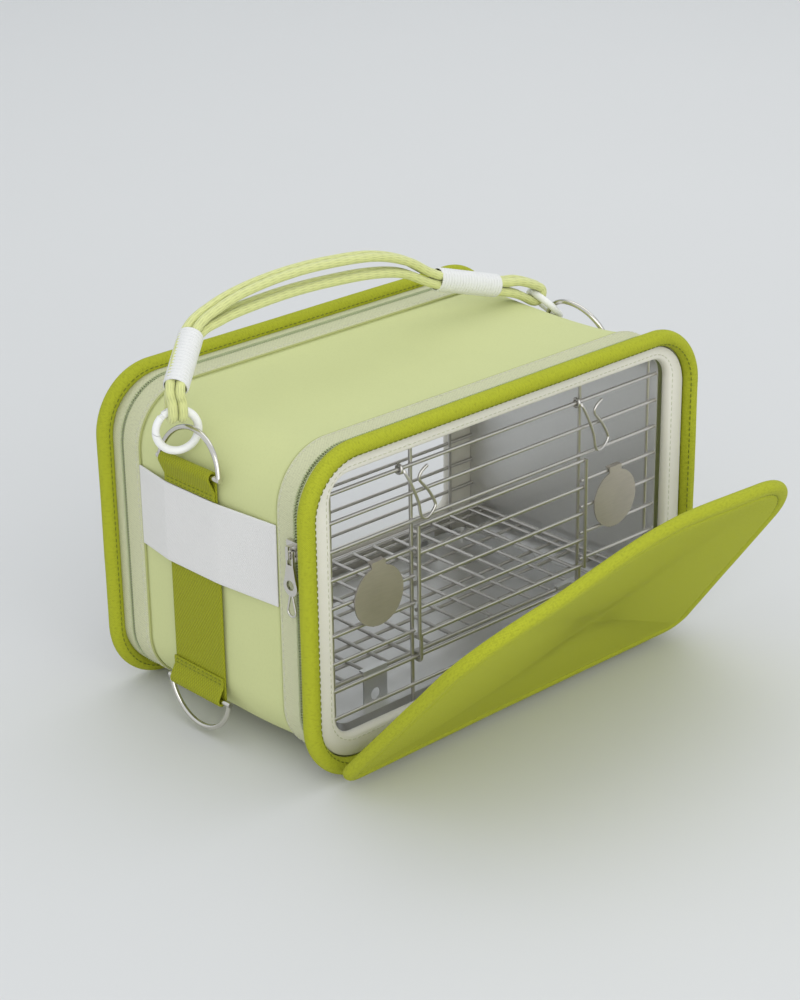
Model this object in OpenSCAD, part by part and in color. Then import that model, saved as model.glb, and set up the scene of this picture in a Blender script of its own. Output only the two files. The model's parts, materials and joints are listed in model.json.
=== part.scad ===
// Soft-sided travel carrier for a small bird: a padded fabric body round a
// stainless steel cage, with a zipped end panel at the front and at the back,
// a fold-down front flap and a rope handle.
// The origin is the middle of the footprint, +X is to the right seen from the
// front, the front faces -Y and +Z is up.

/* [Carrier] */
// Width over the padded rims
carrier_w = 280; // [260:1:320]
// Height over the padded rims
carrier_h = 176.5; // [170:0.5:200]
// Depth over the padded rims
carrier_d = 164.4; // [160:0.2:220]
// Thickness of the padded rim roll
rim_roll = 9; // [8:0.5:11]
// Outer corner radius of the rims
rim_corner = 35; // [28:1:50]
// Depth of the flat pressed into the rim by the carrier's weight
rim_flat = 0.3; // [0.1:0.05:0.5]

/* [Body] */
// How far the body lies inside the rim's outside, sideways
body_inset = 8; // [7:0.5:10]
// How far the body lies inside the rim's outside, up and down
body_inset_z = 7; // [6:0.5:9]
// Outer corner radius of the body at its seams
body_corner = 30; // [24:1:40]
// Length of the padded body between its seams
body_len = 106; // [90:1:140]
// How far the side walls bulge at the middle
side_bulge = 2.5; // [0:0.5:8]
// How far the top sags at the middle
top_sag = 4; // [0:0.5:5]
// Length of the thinner lining behind the zip tapes
lining_len = 132; // [120:1:134]

/* [Windows] */
// Width of the front window
window_w = 238; // [200:1:240]
// Bottom of the front window
window_lo = 21; // [16:0.5:27]
// Top of the front window
window_hi = 159.5; // [150:0.5:162]
// Corner radius of the front window
window_corner = 13; // [8:1:20]
// Width of the back window
back_window_w = 200; // [160:1:230]
// Bottom of the back window
back_window_lo = 32; // [24:1:44]
// Top of the back window
back_window_hi = 145; // [120:1:158]
// Corner radius of the back window
back_window_corner = 10; // [6:1:20]
// Thickness of the window frames
frame_t = 6; // [3:0.5:7]

/* [Zips] */
// Thickness of the zip tape
tape_t = 1.2; // [0.8:0.1:1.6]
// Radius of each row of the zip coil
coil_r = 0.75; // [0.6:0.05:1]
// Distance of the zip line from the rim's middle
zip_from_rim = 10.9; // [10:0.1:14]
// Length of a zip slider
slider_len = 10; // [8:0.5:12]
// Height of the middle of the sliders
slider_z = 125; // [90:1:132]
// Thickness of a slider's top plate
slider_t = 1.3; // [1:0.1:2]
// Length of a zip pull
pull_len = 22; // [14:1:28]

/* [Flap] */
// Width of the front flap
flap_w = 260; // [230:1:266]
// Length of the front flap
flap_len = 154; // [140:1:162]
// Thickness of the front flap
flap_t = 6.7; // [4:0.1:8]
// Corner radius at the free edge
flap_corner = 42; // [20:1:60]
// Corner radius at the hinge edge
flap_corner_lo = 14; // [8:1:24]
// How far the flap stands open
flap_open = 36; // [0:1:90]
// Height of the flap's hinge line
flap_hinge_z = 7.5; // [7:0.1:9]

/* [Webbing] */
// Width of the side straps
strap_w = 39; // [25:1:50]
// Thickness of the strap webbing
strap_t = 1.4; // [1:0.1:1.8]
// Distance of the straps from the middle, towards the back
strap_y = 7.5; // [0:0.5:15]
// Height of the upper ring bar
upper_bar_z = 146.5; // [142:0.5:148]
// Height of the lower ring bar
lower_bar_z = 25; // [24.5:0.5:32]
// Bottom of the side bands
band_lo = 90; // [60:1:92]
// Width of the side bands
band_w = 43; // [25:1:43]
// Thickness of the side bands
band_t = 1.1; // [0.8:0.1:1.4]

/* [Rings] */
// Wire thickness of the D-rings
d_wire = 2.8; // [2:0.1:3.2]
// Half the length of a D-ring's bar
d_half = 23; // [22:0.5:26]
// Height of a D-ring's bow over its bar
d_rise = 20; // [18:0.5:21]
// Offset of the D-rings from the middle, towards the back
d_y = 6.2; // [6:0.1:9]
// Lean of the left upper D-ring towards the body
d_lean_left = 10; // [6:1:14]
// Lean of the right upper D-ring towards the body
d_lean_right = 19; // [17:1:21]
// Wire thickness of the carry rings
ring_wire = 4; // [3.6:0.1:4.2]
// Middle radius of the carry rings
ring_r = 10.6; // [10.4:0.1:11]

/* [Handle] */
// Thickness of the handle rope
rope_d = 4.8; // [4:0.1:5]
// Outside diameter of the whippings
whip_d = 13; // [12:0.1:14]
// Pitch of the whipping's turns
whip_pitch = 2; // [1.5:0.1:3]

/* [Cage] */
// Gap between the cage and the padded body
cage_gap = 0.3; // [0.1:0.1:1]
// Width of the cage
cage_w = 236; // [220:1:238]
// Bottom of the cage
cage_lo = 12.6; // [12:0.1:14]
// Top of the cage
cage_hi = 160.5; // [155:0.5:161]
// Depth of the cage
cage_d = 141.2; // [120:0.2:141.2]
// Corner radius of the cage
cage_corner = 12; // [6:1:16]
// Sheet thickness of the cage
sheet_t = 0.8; // [0.5:0.1:1.2]
// Wire thickness of the grilles
wire_d = 2; // [1.6:0.1:2.4]
// Height of the lowest grille wire
wire_lo = 28; // [26:0.5:30]
// Pitch of the grille wires
wire_pitch = 15; // [14:0.1:15]
// Number of cross wires in a grille
wire_rows = 9; // [9:1:9]
// Distance of the outer upright wires from the middle
outer_upright = 113; // [100:1:115]
// Distance of the door's upright wires from the middle
door_upright = 60; // [45:1:62]
// Distance of the back grille's uprights from the middle
back_upright = 98; // [70:1:105]
// Weld bite where two wires cross
weld = 0.4; // [0.2:0.1:0.6]

/* [Door and clips] */
// Gap between the grille and the door in front of it
door_gap = 0.3; // [0.2:0.1:0.6]
// Bottom bar of the door
door_lo = 55.5; // [52:0.5:58]
// Number of cross bars in the door
door_rows = 5; // [5:1:5]
// Play of the door's wire eyes on the hinge wire
eye_play = 0.3; // [0.1:0.05:0.4]
// Wire thickness of the door clips
clip_d = 1.6; // [1.2:0.1:1.8]
// Diameter of the round steel plates
disc_d = 32; // [24:1:36]
// Distance of the round plates from the middle
disc_x = 85; // [80:1:92]

/* [Floor] */
// Height of the grating
grate_z = 33; // [30:0.5:38]
// Wire thickness of the grating
grate_wire = 2; // [1.6:0.1:2.4]
// Pitch of the grating wires
grate_pitch = 15; // [12:0.5:20]
// Half the length of the grating, side to side
grate_half_x = 112.5; // [105:0.5:115]
// Front edge of the grating
grate_front = -50; // [-56:1:-40]
// Back edge of the grating
grate_back = 60; // [50:1:62]
// Width of the grating's leg plates
leg_w = 16; // [12:1:20]
// Distance of the leg plates from the middle
leg_x = 71; // [60:1:90]
// Height of the tray's rim
tray_rim = 6; // [4:0.5:8]
// Gap round the tray
tray_gap = 3; // [2:0.5:8]

/* [Hidden] */
$fn = 48;

// Colours of the fabrics and metals
lime = [0.64, 0.69, 0.16];
pale = [0.78, 0.84, 0.56];
cream = [0.9, 0.88, 0.8];
web_green = [0.5, 0.56, 0.1];
white = [0.95, 0.95, 0.94];
steel = [0.75, 0.75, 0.73];

// Small clearances
slip = 0.3;
seam = 0.1;

// Rim: radius of the roll, its middle line and its middle in depth
roll_r = rim_roll / 2;
rim_hw = carrier_w / 2 - roll_r;
rim_z0 = roll_r - rim_flat;
rim_z1 = carrier_h - roll_r;
rim_path_r = rim_corner - roll_r;
rim_y = carrier_d / 2 - roll_r;

// Body outline at the seams
body_hw = carrier_w / 2 - body_inset;
body_z0 = body_inset_z;
body_z1 = carrier_h - body_inset_z;
bulge_steps = 4;
corner_steps = 8;

// Zip line and the edges of its tapes
zip_y = rim_y - zip_from_rim;
zip_clear = slip / 2;
coil_y = coil_r + zip_clear;
coil_out = tape_t / 2 + 0.3;
tape_out = tape_t - seam;
tape_start = body_len / 2 + slip;
tape_end = rim_y - sqrt(roll_r ^ 2 - (rim_z1 - body_z1 - tape_out) ^ 2) - seam;

// Window frames lie inside the roll
frame_y = rim_y - 6.7;
frame_hw = rim_hw - roll_r - seam;
frame_z0 = rim_z0 + roll_r + seam;
frame_z1 = rim_z1 - roll_r - seam;
frame_corner = rim_path_r - roll_r - seam;

// Flap hinge line, just in front of the rim's bottom roll
hinge_y = -rim_y - roll_r - 0.4;
welt_r = 0.6;
flap_back = welt_r + 0.4;
flap_edge_r = flap_t / 2;
flap_core_t = flap_t - 0.8;

// Straps and the loops that hold the D-rings
strap_x = body_hw + side_bulge + slip;
bar_bore = d_wire / 2 + slip;
loop_r = bar_bore + strap_t;
bar_x = strap_x + strap_t + bar_bore + 0.05;
upper_tail = band_lo + band_w + 0.5;
lower_tail = lower_bar_z + 12;
band_x = strap_x + strap_t + slip;
stitch_bite = 0.2;

// D-ring bow, an arc through the ends of the bar
bow_r = (d_half ^ 2 + d_rise ^ 2) / (2 * d_rise);
bow_z = d_rise - bow_r;
bow_end = asin(-bow_z / bow_r);

// Carry rings: middle, heading and tilt of the ring's axis
left_ring_at = [-138.5, 13, 164.5];
left_ring_dir = [-115, 0];
right_ring_at = [132.5, 26.7, 160];
right_ring_dir = [-16, 45];
gate_from = 136;
gate_to = 186;
gate_pin_a = 122;
gate_tongue = 1.5;
gate_pin_r = 0.6;
gate_bore = gate_pin_r + 0.05;
gate_lap = 8;
gate_reach = 2 * ring_r * sin((gate_to - gate_pin_a) / 2);

// Handle rope: x, y, z, heading of the side by side direction,
// half the pitch sideways and half the pitch up
handle_rows = [
    [-138.6, 12.6, 181.5, -28, 2.5, 3.7],
    [-138.8, 12, 187, -38, 2.5, 2.5],
    [-114, 30, 203, -54, 2.5, 2.5],
    [-95, 33, 209, -68, 2.6, 3.6],
    [-73, 34, 212, -80, 2.7, 4.6],
    [-45, 35, 213, -88, 2.7, 5],
    [-18, 35, 212, -90, 2.7, 5],
    [10, 35, 209, -92, 2.7, 4.6],
    [34, 36, 202, -94, 2.6, 3.4],
    [57, 35, 190, -96, 2.5, 2.5],
    [97, 30, 178, -100, 2.5, 2.5],
    [112, 29, 174, -104, 2.6, 3.7]
];
left_whip_rows = [1, 2];
right_whip_rows = [9, 10];
rope_steps = 2;
eye_steps = 4;
eye_r = (ring_wire / 2 + rope_d / 2 + 0.1) / cos(90 / eye_steps);

// Cage: inside of the sleeve and the planes of the wires
cage_hw = cage_w / 2;
inner_hw = cage_hw - sheet_t;
inner_z0 = cage_lo + sheet_t;
inner_z1 = cage_hi - sheet_t;
wire_r = wire_d / 2;
row_y = cage_d / 2 - wire_r;
upright_y = row_y - wire_d + weld;
hinge_row = 1;
hinge_wire_z = wire_lo + hinge_row * wire_pitch;
top_wire_z = wire_lo + (wire_rows - 1) * wire_pitch;
door_row_lo = 2;
door_row_hi = 5;

// Door: its cross bars lie in front of the grille, its uprights in front again
door_bar_y = row_y + wire_d + door_gap;
door_post_y = door_bar_y + wire_d - weld;
door_hi = door_lo + (door_rows - 1) * wire_pitch;
door_eye_x = door_upright - wire_d - 0.5;
door_eye_r = door_bar_y - row_y;

// Clips hang on the top wire, drawn as x, depth and z from its middle
clip_r = clip_d / 2;
clip_eye_r = wire_r + eye_play + clip_r;
left_clip_x = -68;
right_clip_x = 57;
clip_points = [
    [0, -2.1, 0], [3.2, -3.8, -7.5], [7.6, -4.2, -18], [9.6, -4, -26],
    [12, -3.8, -28.8], [15.6, -3.6, -28.6], [19.6, -3.2, -25.6],
    [20.2, -2.8, -22.6], [16, -2.3, -15], [10.6, -2.2, -8.4],
    [11.6, -2.3, -4.6], [16, -2.6, -1.6]
];

// Round plates lie on the grille's front
disc_t = sheet_t;
disc_z = wire_lo + 3.9 * wire_pitch;
disc_y = row_y + wire_r + 0.4;
tab_w = 9;
tab_gap = 0.3;

// Tray and grating
tray_z = inner_z0 + seam;
grate_r = grate_wire / 2;
edge_r = 1.3;
leg_hole_r = 3.2;
leg_hole_z = tray_z + 6.5;
leg_foot = tray_z + sheet_t + seam;

function unit(v) = v / norm(v);
function heading(a) = [cos(a), sin(a), 0];
function flat_to(v, t) = unit(v - (v * t) * t);
function mix(a, b, t) = a + (b - a) * t;
function smooth(p, i, t) = let (
        a = p[i - 1], b = p[i], c = p[i + 1], d = p[i + 2]
    ) 0.5 * (2 * b + (c - a) * t + (2 * a - 5 * b + 4 * c - d) * t ^ 2
        + (3 * b - a - 3 * c + d) * t ^ 3);

// Direction of a carry ring's axis and its highest direction
function ring_axis(d) = [cos(d[1]) * cos(d[0]), cos(d[1]) * sin(d[0]), sin(d[1])];
function ring_up(d) = [-sin(d[1]) * cos(d[0]), -sin(d[1]) * sin(d[0]), cos(d[1])];

// Handle rows with the free part between the whippings smoothed
first_free = left_whip_rows[1];
last_free = right_whip_rows[0];
row_count = len(handle_rows);
fine_rows = concat(
    [for (i = [0:first_free - 1]) handle_rows[i]],
    [for (i = [first_free:last_free - 1], k = [0:rope_steps - 1])
        smooth(handle_rows, i, k / rope_steps)],
    [for (i = [last_free:row_count - 1]) handle_rows[i]]
);
fine_count = len(fine_rows);
function row_at(r) = [r[0], r[1], r[2]];
function row_dir(i) = unit(
    row_at(fine_rows[min(i + 1, fine_count - 1)]) - row_at(fine_rows[max(i - 1, 0)])
);

// Point of one strand: side is left or right of the bundle, up is its layer
function strand(i, side, up) = let (
        r = fine_rows[i], t = row_dir(i), u = flat_to(heading(r[3]), t), w = cross(u, t)
    ) [row_at(r) + side * r[4] * u + up * r[5] * w, heading(r[3])];

// Turn of the rope round a carry ring, from one layer to the other
function eye(at, d, side, from_up) = let (
        head = heading(d[0] + 90), n = ring_axis(d), c = at + ring_r * ring_up(d)
    ) [for (k = [0:eye_steps]) let (a = 180 * k / eye_steps) [
        c + side * handle_rows[0][4] * head
            + eye_r * (from_up * cos(a) * n - sin(a) * ring_up(d)), head]];

function rope_loop(side) = concat(
    [for (i = [0:fine_count - 1]) strand(i, side, 1)],
    eye(right_ring_at, right_ring_dir, -side, 1),
    [for (i = [fine_count - 1:-1:0]) strand(i, side, -1)],
    eye(left_ring_at, left_ring_dir, side, -1)
);

// Rounded rectangle from lo to hi, with one radius below and one above
module outline(hw, lo, hi, r_lo, r_hi) {
    difference() {
        translate([-hw, lo]) square([2 * hw, hi - lo]);
        for (s = [-1, 1]) {
            translate([s * hw, lo]) corner_cut(r_lo, -s, 1);
            translate([s * hw, hi]) corner_cut(r_hi, -s, -1);
        }
    }
}

module corner_cut(r, sx, sz) {
    difference() {
        translate([min(0, sx * r) - (sx > 0 ? 1 : 0), min(0, sz * r) - (sz > 0 ? 1 : 0)])
            square([r + 1, r + 1]);
        translate([sx * r, sz * r]) circle(r);
    }
}

// Slab of that outline between two depths
module slab(hw, lo, hi, r_lo, r_hi, y0, y1) {
    translate([0, y1, 0]) rotate([90, 0, 0]) linear_extrude(y1 - y0)
        outline(hw, lo, hi, r_lo, r_hi);
}

// Slab with the same outline cut out, a wall t thick
module band_slab(hw, lo, hi, r, t, y0, y1) {
    difference() {
        slab(hw, lo, hi, r, r, y0, y1);
        slab(hw - t, lo + t, hi - t, r - t, r - t, y0 - 1, y1 + 1);
    }
}

// Round roll along a rounded rectangle
module roll(hw, lo, hi, r_lo, r_hi, tube) {
    for (s = [-1, 1]) {
        translate([s * hw, 0, lo + r_lo]) cylinder(h = hi - lo - r_lo - r_hi, r = tube);
    }
    translate([-hw + r_lo, 0, lo]) rotate([0, 90, 0]) cylinder(h = 2 * (hw - r_lo), r = tube);
    translate([-hw + r_hi, 0, hi]) rotate([0, 90, 0]) cylinder(h = 2 * (hw - r_hi), r = tube);
    elbow(hw - r_hi, hi - r_hi, r_hi, 0, tube);
    elbow(-hw + r_hi, hi - r_hi, r_hi, 90, tube);
    elbow(-hw + r_lo, lo + r_lo, r_lo, 180, tube);
    elbow(hw - r_lo, lo + r_lo, r_lo, 270, tube);
}

module elbow(x, z, r, start, tube) {
    translate([x, 0, z]) rotate([90, 0, 0]) rotate([0, 0, start])
        rotate_extrude(angle = 90) translate([r, 0]) circle(tube);
}

// Outline that stands off the body's seam outline by e
module body_slab(e, y0, y1) {
    slab(body_hw + e, body_z0 - e, body_z1 + e, body_corner + e, body_corner + e, y0, y1);
}

// Round wire between two points
module wire(a, b, r) {
    v = b - a;
    translate(a) rotate([0, acos(v[2] / norm(v)), atan2(v[1], v[0])])
        cylinder(h = norm(v), r = r);
}

module wire_x(x0, x1, y, z, r) {
    translate([x0, y, z]) rotate([0, 90, 0]) cylinder(h = x1 - x0, r = r);
}

module wire_y(y0, y1, x, z, r) {
    translate([x, y1, z]) rotate([90, 0, 0]) cylinder(h = y1 - y0, r = r);
}

module wire_z(z0, z1, x, y, r) {
    translate([x, y, z0]) cylinder(h = z1 - z0, r = r);
}

// Tube along a path of [point, side direction], closed into a loop or capped
module tube(path, r, sides, closed) {
    n = len(path);
    last = closed ? n - 1 : n - 2;
    rings = [for (i = [0:n - 1]) let (
            a = closed ? path[(i + n - 1) % n][0] : path[max(i - 1, 0)][0],
            b = closed ? path[(i + 1) % n][0] : path[min(i + 1, n - 1)][0],
            t = unit(b - a), u = flat_to(path[i][1], t), w = cross(t, u)
        ) for (k = [0:sides - 1])
            path[i][0] + r * (cos(360 * k / sides) * u + sin(360 * k / sides) * w)];
    walls = [for (i = [0:last], k = [0:sides - 1]) let (
            j = (i + 1) % n, m = (k + 1) % sides
        ) each [
            [i * sides + k, j * sides + k, i * sides + m],
            [j * sides + k, j * sides + m, i * sides + m]
        ]];
    caps = closed ? [] : [
        [for (k = [0:sides - 1]) k],
        [for (k = [sides - 1:-1:0]) (n - 1) * sides + k]
    ];
    polyhedron(points = rings, faces = concat(walls, caps));
}

// One ring of points round the body: its half width grows by wide and its top
// drops by sag
function body_section(y, wide, sag) = let (
        x = body_hw + wide - body_corner, z0 = body_z0 + body_corner,
        z1 = body_z1 - sag - body_corner, n = corner_steps,
        mids = [[x, z1], [-x, z1], [-x, z0], [x, z0]]
    ) [for (q = [0:3], k = [0:n]) let (a = 90 * (q + k / n)) [
        mids[q][0] + body_corner * cos(a), y, mids[q][1] + body_corner * sin(a)]];

// Solid through a row of such rings
module loft(sections) {
    n = len(sections[0]);
    m = len(sections);
    walls = [for (i = [0:m - 2], k = [0:n - 1]) let (j = (k + 1) % n) each [
        [i * n + k, i * n + j, (i + 1) * n + k],
        [(i + 1) * n + k, i * n + j, (i + 1) * n + j]
    ]];
    caps = [[for (k = [n - 1:-1:0]) k], [for (k = [0:n - 1]) (m - 1) * n + k]];
    polyhedron(points = [for (s = sections) each s], faces = concat(walls, caps));
}

// Padded body: soft walls that bulge at the sides and sag on top, over a
// thinner lining that reaches under the zip tapes
module body_shell() {
    color(pale) difference() {
        union() {
            loft([for (k = [-bulge_steps:bulge_steps]) let (
                    f = k / bulge_steps, w = 1 - f * f
                ) body_section(f * body_len / 2, side_bulge * w, top_sag * w)]);
            for (s = [-1, 1]) mirror([0, s < 0 ? 1 : 0, 0])
                body_slab(-2 * seam, body_len / 2 - 1, lining_len / 2 - 2);
        }
        slab(cage_hw + cage_gap, cage_lo - cage_gap, cage_hi + cage_gap,
            cage_corner + cage_gap, cage_corner + cage_gap, -lining_len, lining_len);
    }
}

// Padded rim, pressed flat where the carrier stands on it
module rim() {
    difference() {
        roll(rim_hw, rim_z0, rim_z1, rim_path_r, rim_path_r, roll_r);
        translate([-carrier_w, -carrier_d, -roll_r]) cube([2 * carrier_w, 2 * carrier_d, roll_r]);
    }
}

// The front rim also carries the sewn welt on which the flap folds
module front_rim() {
    color(lime) union() {
        translate([0, -rim_y, 0]) rim();
        welt_hw = flap_w / 2 - flap_corner_lo - 10;
        wire_x(-welt_hw, welt_hw, hinge_y, flap_hinge_z, welt_r);
        translate([-welt_hw, 0, 0]) rotate([90, 0, 90]) linear_extrude(2 * welt_hw)
            polygon([
                [hinge_y - 0.3, flap_hinge_z - 0.5], [hinge_y + 0.3, flap_hinge_z + 0.5],
                [-rim_y - 1, rim_z0 + 1.6], [-rim_y - 1, rim_z0]
            ]);
    }
}

module back_rim() {
    color(lime) translate([0, rim_y, 0]) rim();
}

// Window frames: flat padded plates with one large opening
module window_frame(hw, lo, hi, r) {
    difference() {
        slab(frame_hw, frame_z0, frame_z1, frame_corner, frame_corner, 0, frame_t);
        slab(hw, lo, hi, r, r, -1, frame_t + 1);
    }
}

module front_window_frame() {
    color(cream) translate([0, -frame_y - frame_t, 0])
        window_frame(window_w / 2, window_lo, window_hi, window_corner);
}

module back_window_frame() {
    color(cream) translate([0, frame_y, 0])
        window_frame(back_window_w / 2, back_window_lo, back_window_hi, back_window_corner);
}

// Zip tapes: a woven strip with one row of the coil along its edge
module panel_tape() {
    band_slab(body_hw + tape_out, body_z0 - tape_out, body_z1 + tape_out,
        body_corner + tape_out, tape_t, zip_y + coil_y, tape_end);
    coil_row(zip_y + coil_y);
}

module body_tape() {
    band_slab(body_hw + tape_out, body_z0 - tape_out, body_z1 + tape_out,
        body_corner + tape_out, tape_t, tape_start, zip_y - coil_y);
    coil_row(zip_y - coil_y);
}

module coil_row(y) {
    e = coil_out;
    translate([0, y, 0])
        roll(body_hw + e, body_z0 - e, body_z1 + e, body_corner + e, body_corner + e, coil_r);
}

module front_panel_tape() { color(pale) mirror([0, 1, 0]) panel_tape(); }
module back_panel_tape() { color(pale) panel_tape(); }
module front_body_tape() { color(pale) mirror([0, 1, 0]) body_tape(); }
module back_body_tape() { color(pale) body_tape(); }

// Zip slider: a waisted plate over both rows of coil, a lip beside the body's
// row and a bridge for the pull. X points away from the body, the zip runs
// along Z and the body lies towards -Y
slider_in = coil_out + coil_r + slip;
slider_lip = tape_out + slip;
bridge_h = 2.6;
bridge_t = 0.9;
pin_r = 0.7;
pin_x = slider_in + slider_t + bridge_h / 2;
arm_y = 1.5;

module zip_slider() {
    lip_y = coil_y + coil_r + slip;
    translate([slider_in, 0, 0]) rotate([0, 90, 0]) linear_extrude(slider_t) polygon([
        [-slider_len / 2, -3.9], [-slider_len / 2 + 1.5, -4.4], [0.5, -3.6],
        [slider_len / 2 - 1, -3.4], [slider_len / 2, -2.6], [slider_len / 2, 2.6],
        [slider_len / 2 - 1, 3.4], [0.5, 3.6], [-slider_len / 2 + 1.5, 4.4],
        [-slider_len / 2, 3.9]
    ]);
    translate([slider_lip, -lip_y - 1, -slider_len / 2 + 1.2])
        cube([slider_in - slider_lip + 0.2, 1, slider_len - 2.4]);
    translate([slider_in + slider_t, 1, 0]) rotate([90, 0, 0]) linear_extrude(2)
        difference() {
            translate([-0.1, -3.4]) square([bridge_h + bridge_t + 0.1, 6.8]);
            translate([-0.5, -3.4 + bridge_t]) square([bridge_h + 0.5, 6.8 - 2 * bridge_t]);
        }
}

// Bell-shaped pull with a round hole, an eye bar under the bridge and a slim
// loop below
module zip_pull() {
    wire_y(-arm_y - 1, arm_y + 1, pin_x, 0, pin_r);
    for (s = [-1, 1]) translate([pin_x - pin_r, s > 0 ? arm_y : -arm_y - 1, -7.6])
        cube([2 * pin_r, 1, 7.6]);
    translate([pin_x - pin_r, 0, 0]) rotate([0, 90, 0]) linear_extrude(2 * pin_r)
        difference() {
            union() {
                polygon([[6.8, -2.5], [6.8, 2.5], [12, 3.4], [18, 4.9], [18, -4.9], [12, -3.4]]);
                translate([18, 0]) circle(4.9);
            }
            translate([17.4, 0]) circle(2.6);
        }
    translate([pin_x, 0, -pull_len]) {
        wire([0, 0.6, 0], [0, 2.9, -9], 0.6);
        wire([0, -0.6, 0], [0, -2.9, -9], 0.6);
        translate([0, 0, -9]) rotate([90, 0, 90]) rotate([0, 0, 180])
            rotate_extrude(angle = 180) translate([2.9, 0]) circle(0.6);
    }
}

module front_zip_slider() {
    color(steel) translate([-body_hw, -zip_y, slider_z]) rotate([0, 0, 180]) zip_slider();
}

module front_zip_pull() {
    color(steel) translate([-body_hw, -zip_y, slider_z]) rotate([0, 0, 180]) zip_pull();
}

module back_zip_slider() {
    color(steel) translate([body_hw, zip_y, slider_z]) zip_slider();
}

module back_zip_pull() {
    color(steel) translate([body_hw, zip_y, slider_z]) zip_pull();
}

// Front flap: a padded panel with a rolled edge, drawn closed and turned open
module front_flap() {
    hw = flap_w / 2;
    lo = flap_back;
    color(lime) translate([0, hinge_y, flap_hinge_z]) rotate([flap_open, 0, 0])
        translate([0, -flap_back - flap_edge_r, 0]) union() {
            roll(hw - flap_edge_r, lo + flap_edge_r, flap_len - flap_edge_r,
                flap_corner_lo - flap_edge_r, flap_corner - flap_edge_r, flap_edge_r);
            slab(hw - flap_edge_r, lo + flap_edge_r, flap_len - flap_edge_r,
                flap_corner_lo - flap_edge_r, flap_corner - flap_edge_r,
                -flap_core_t / 2, flap_core_t / 2);
            hem_hw = hw - flap_corner_lo - 10;
            translate([-hem_hw, flap_back + flap_edge_r, 0]) rotate([90, 0, 90])
                linear_extrude(2 * hem_hw) polygon([
                    [-welt_r - slip - 0.5, 0.2], [-welt_r - slip + 0.3, 1.2],
                    [-flap_back - 1.6, flap_back + 3], [-flap_back - 3, flap_back + 1.6]
                ]);
        }
}

// Side strap: one length of webbing with a sewn loop at each end
module strap() {
    translate([0, strap_y + strap_w / 2, 0]) rotate([90, 0, 0]) linear_extrude(strap_w)
        difference() {
            union() {
                translate([strap_x, lower_bar_z]) square([strap_t, upper_bar_z - lower_bar_z]);
                translate([bar_x, upper_bar_z]) circle(loop_r);
                translate([bar_x, lower_bar_z]) circle(loop_r);
                loop_tail(upper_bar_z, upper_tail);
                loop_tail(lower_bar_z, lower_tail);
            }
            translate([bar_x, upper_bar_z]) circle(bar_bore);
            translate([bar_x, lower_bar_z]) circle(bar_bore);
        }
}

module loop_tail(bar_z, end_z) {
    k = end_z > bar_z ? 1 : -1;
    out = bar_x + loop_r;
    flat_x = strap_x + strap_t;
    tail = [
        [out, bar_z], [out - strap_t, bar_z], [flat_x, end_z - 4 * k],
        [flat_x - stitch_bite, end_z - 4 * k], [flat_x - stitch_bite, end_z],
        [flat_x + strap_t, end_z], [flat_x + strap_t, end_z - 4.5 * k]
    ];
    polygon(k > 0 ? [for (i = [6:-1:0]) tail[i]] : tail);
}

module left_strap() { color(web_green) mirror([1, 0, 0]) strap(); }
module right_strap() { color(web_green) strap(); }

// Side band: sewn in at both seams and stretched over the strap
module side_band() {
    end_y = body_len / 2 - 0.2;
    edge = strap_w / 2 + 0.5;
    inner = [
        [body_hw + slip, -end_y], [band_x, strap_y - edge],
        [band_x, strap_y + edge], [body_hw + slip, end_y]
    ];
    outer = [for (i = [3:-1:0]) inner[i] + [band_t, 0]];
    translate([0, 0, band_lo]) linear_extrude(band_w) polygon(concat(inner, outer));
}

module left_band() { color(white) mirror([1, 0, 0]) side_band(); }
module right_band() { color(white) side_band(); }

// D-ring: a straight bar and a round bow
module d_ring() {
    wire_y(-d_half - d_wire / 2, d_half + d_wire / 2, 0, 0, d_wire / 2);
    translate([0, 0, bow_z]) rotate([90, 0, 90]) rotate([0, 0, bow_end])
        rotate_extrude(angle = 180 - 2 * bow_end) translate([bow_r, 0]) circle(d_wire / 2);
}

module left_top_d_ring() {
    color(steel) translate([-bar_x, d_y, upper_bar_z]) rotate([0, d_lean_left, 0]) d_ring();
}

module right_top_d_ring() {
    color(steel) translate([bar_x, d_y, upper_bar_z]) rotate([0, -d_lean_right, 0]) d_ring();
}

module left_low_d_ring() {
    color(steel) translate([-bar_x, d_y, lower_bar_z]) rotate([0, 180, 0]) d_ring();
}

module right_low_d_ring() {
    color(steel) translate([bar_x, d_y, lower_bar_z]) rotate([0, 180, 0]) d_ring();
}

// Carry ring and its sprung gate. The ring lies flat here with its top on Y
ring_tube = ring_wire / 2;
gate_pin = ring_r * [cos(gate_pin_a), sin(gate_pin_a)];

module carry_ring() {
    difference() {
        rotate([0, 0, gate_to - gate_lap])
            rotate_extrude(angle = 360 + gate_pin_a + 5 - gate_to + gate_lap)
                translate([ring_r, 0]) circle(ring_tube);
        intersection() {
            gate_swing(gate_reach + 0.2);
            translate([-ring_r - 4, -4, -ring_tube - 1]) cube([8, 8, 2 * ring_tube + 2]);
        }
        translate([0, 0, -gate_tongue / 2 - 0.2]) linear_extrude(gate_tongue + 0.4)
            translate(gate_pin) rotate(gate_pin_a) translate([-4, -1.9]) square([8, 6]);
    }
    translate([gate_pin[0], gate_pin[1], -ring_tube + 0.5])
        cylinder(h = 2 * ring_tube - 1, r = gate_pin_r);
}

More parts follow.
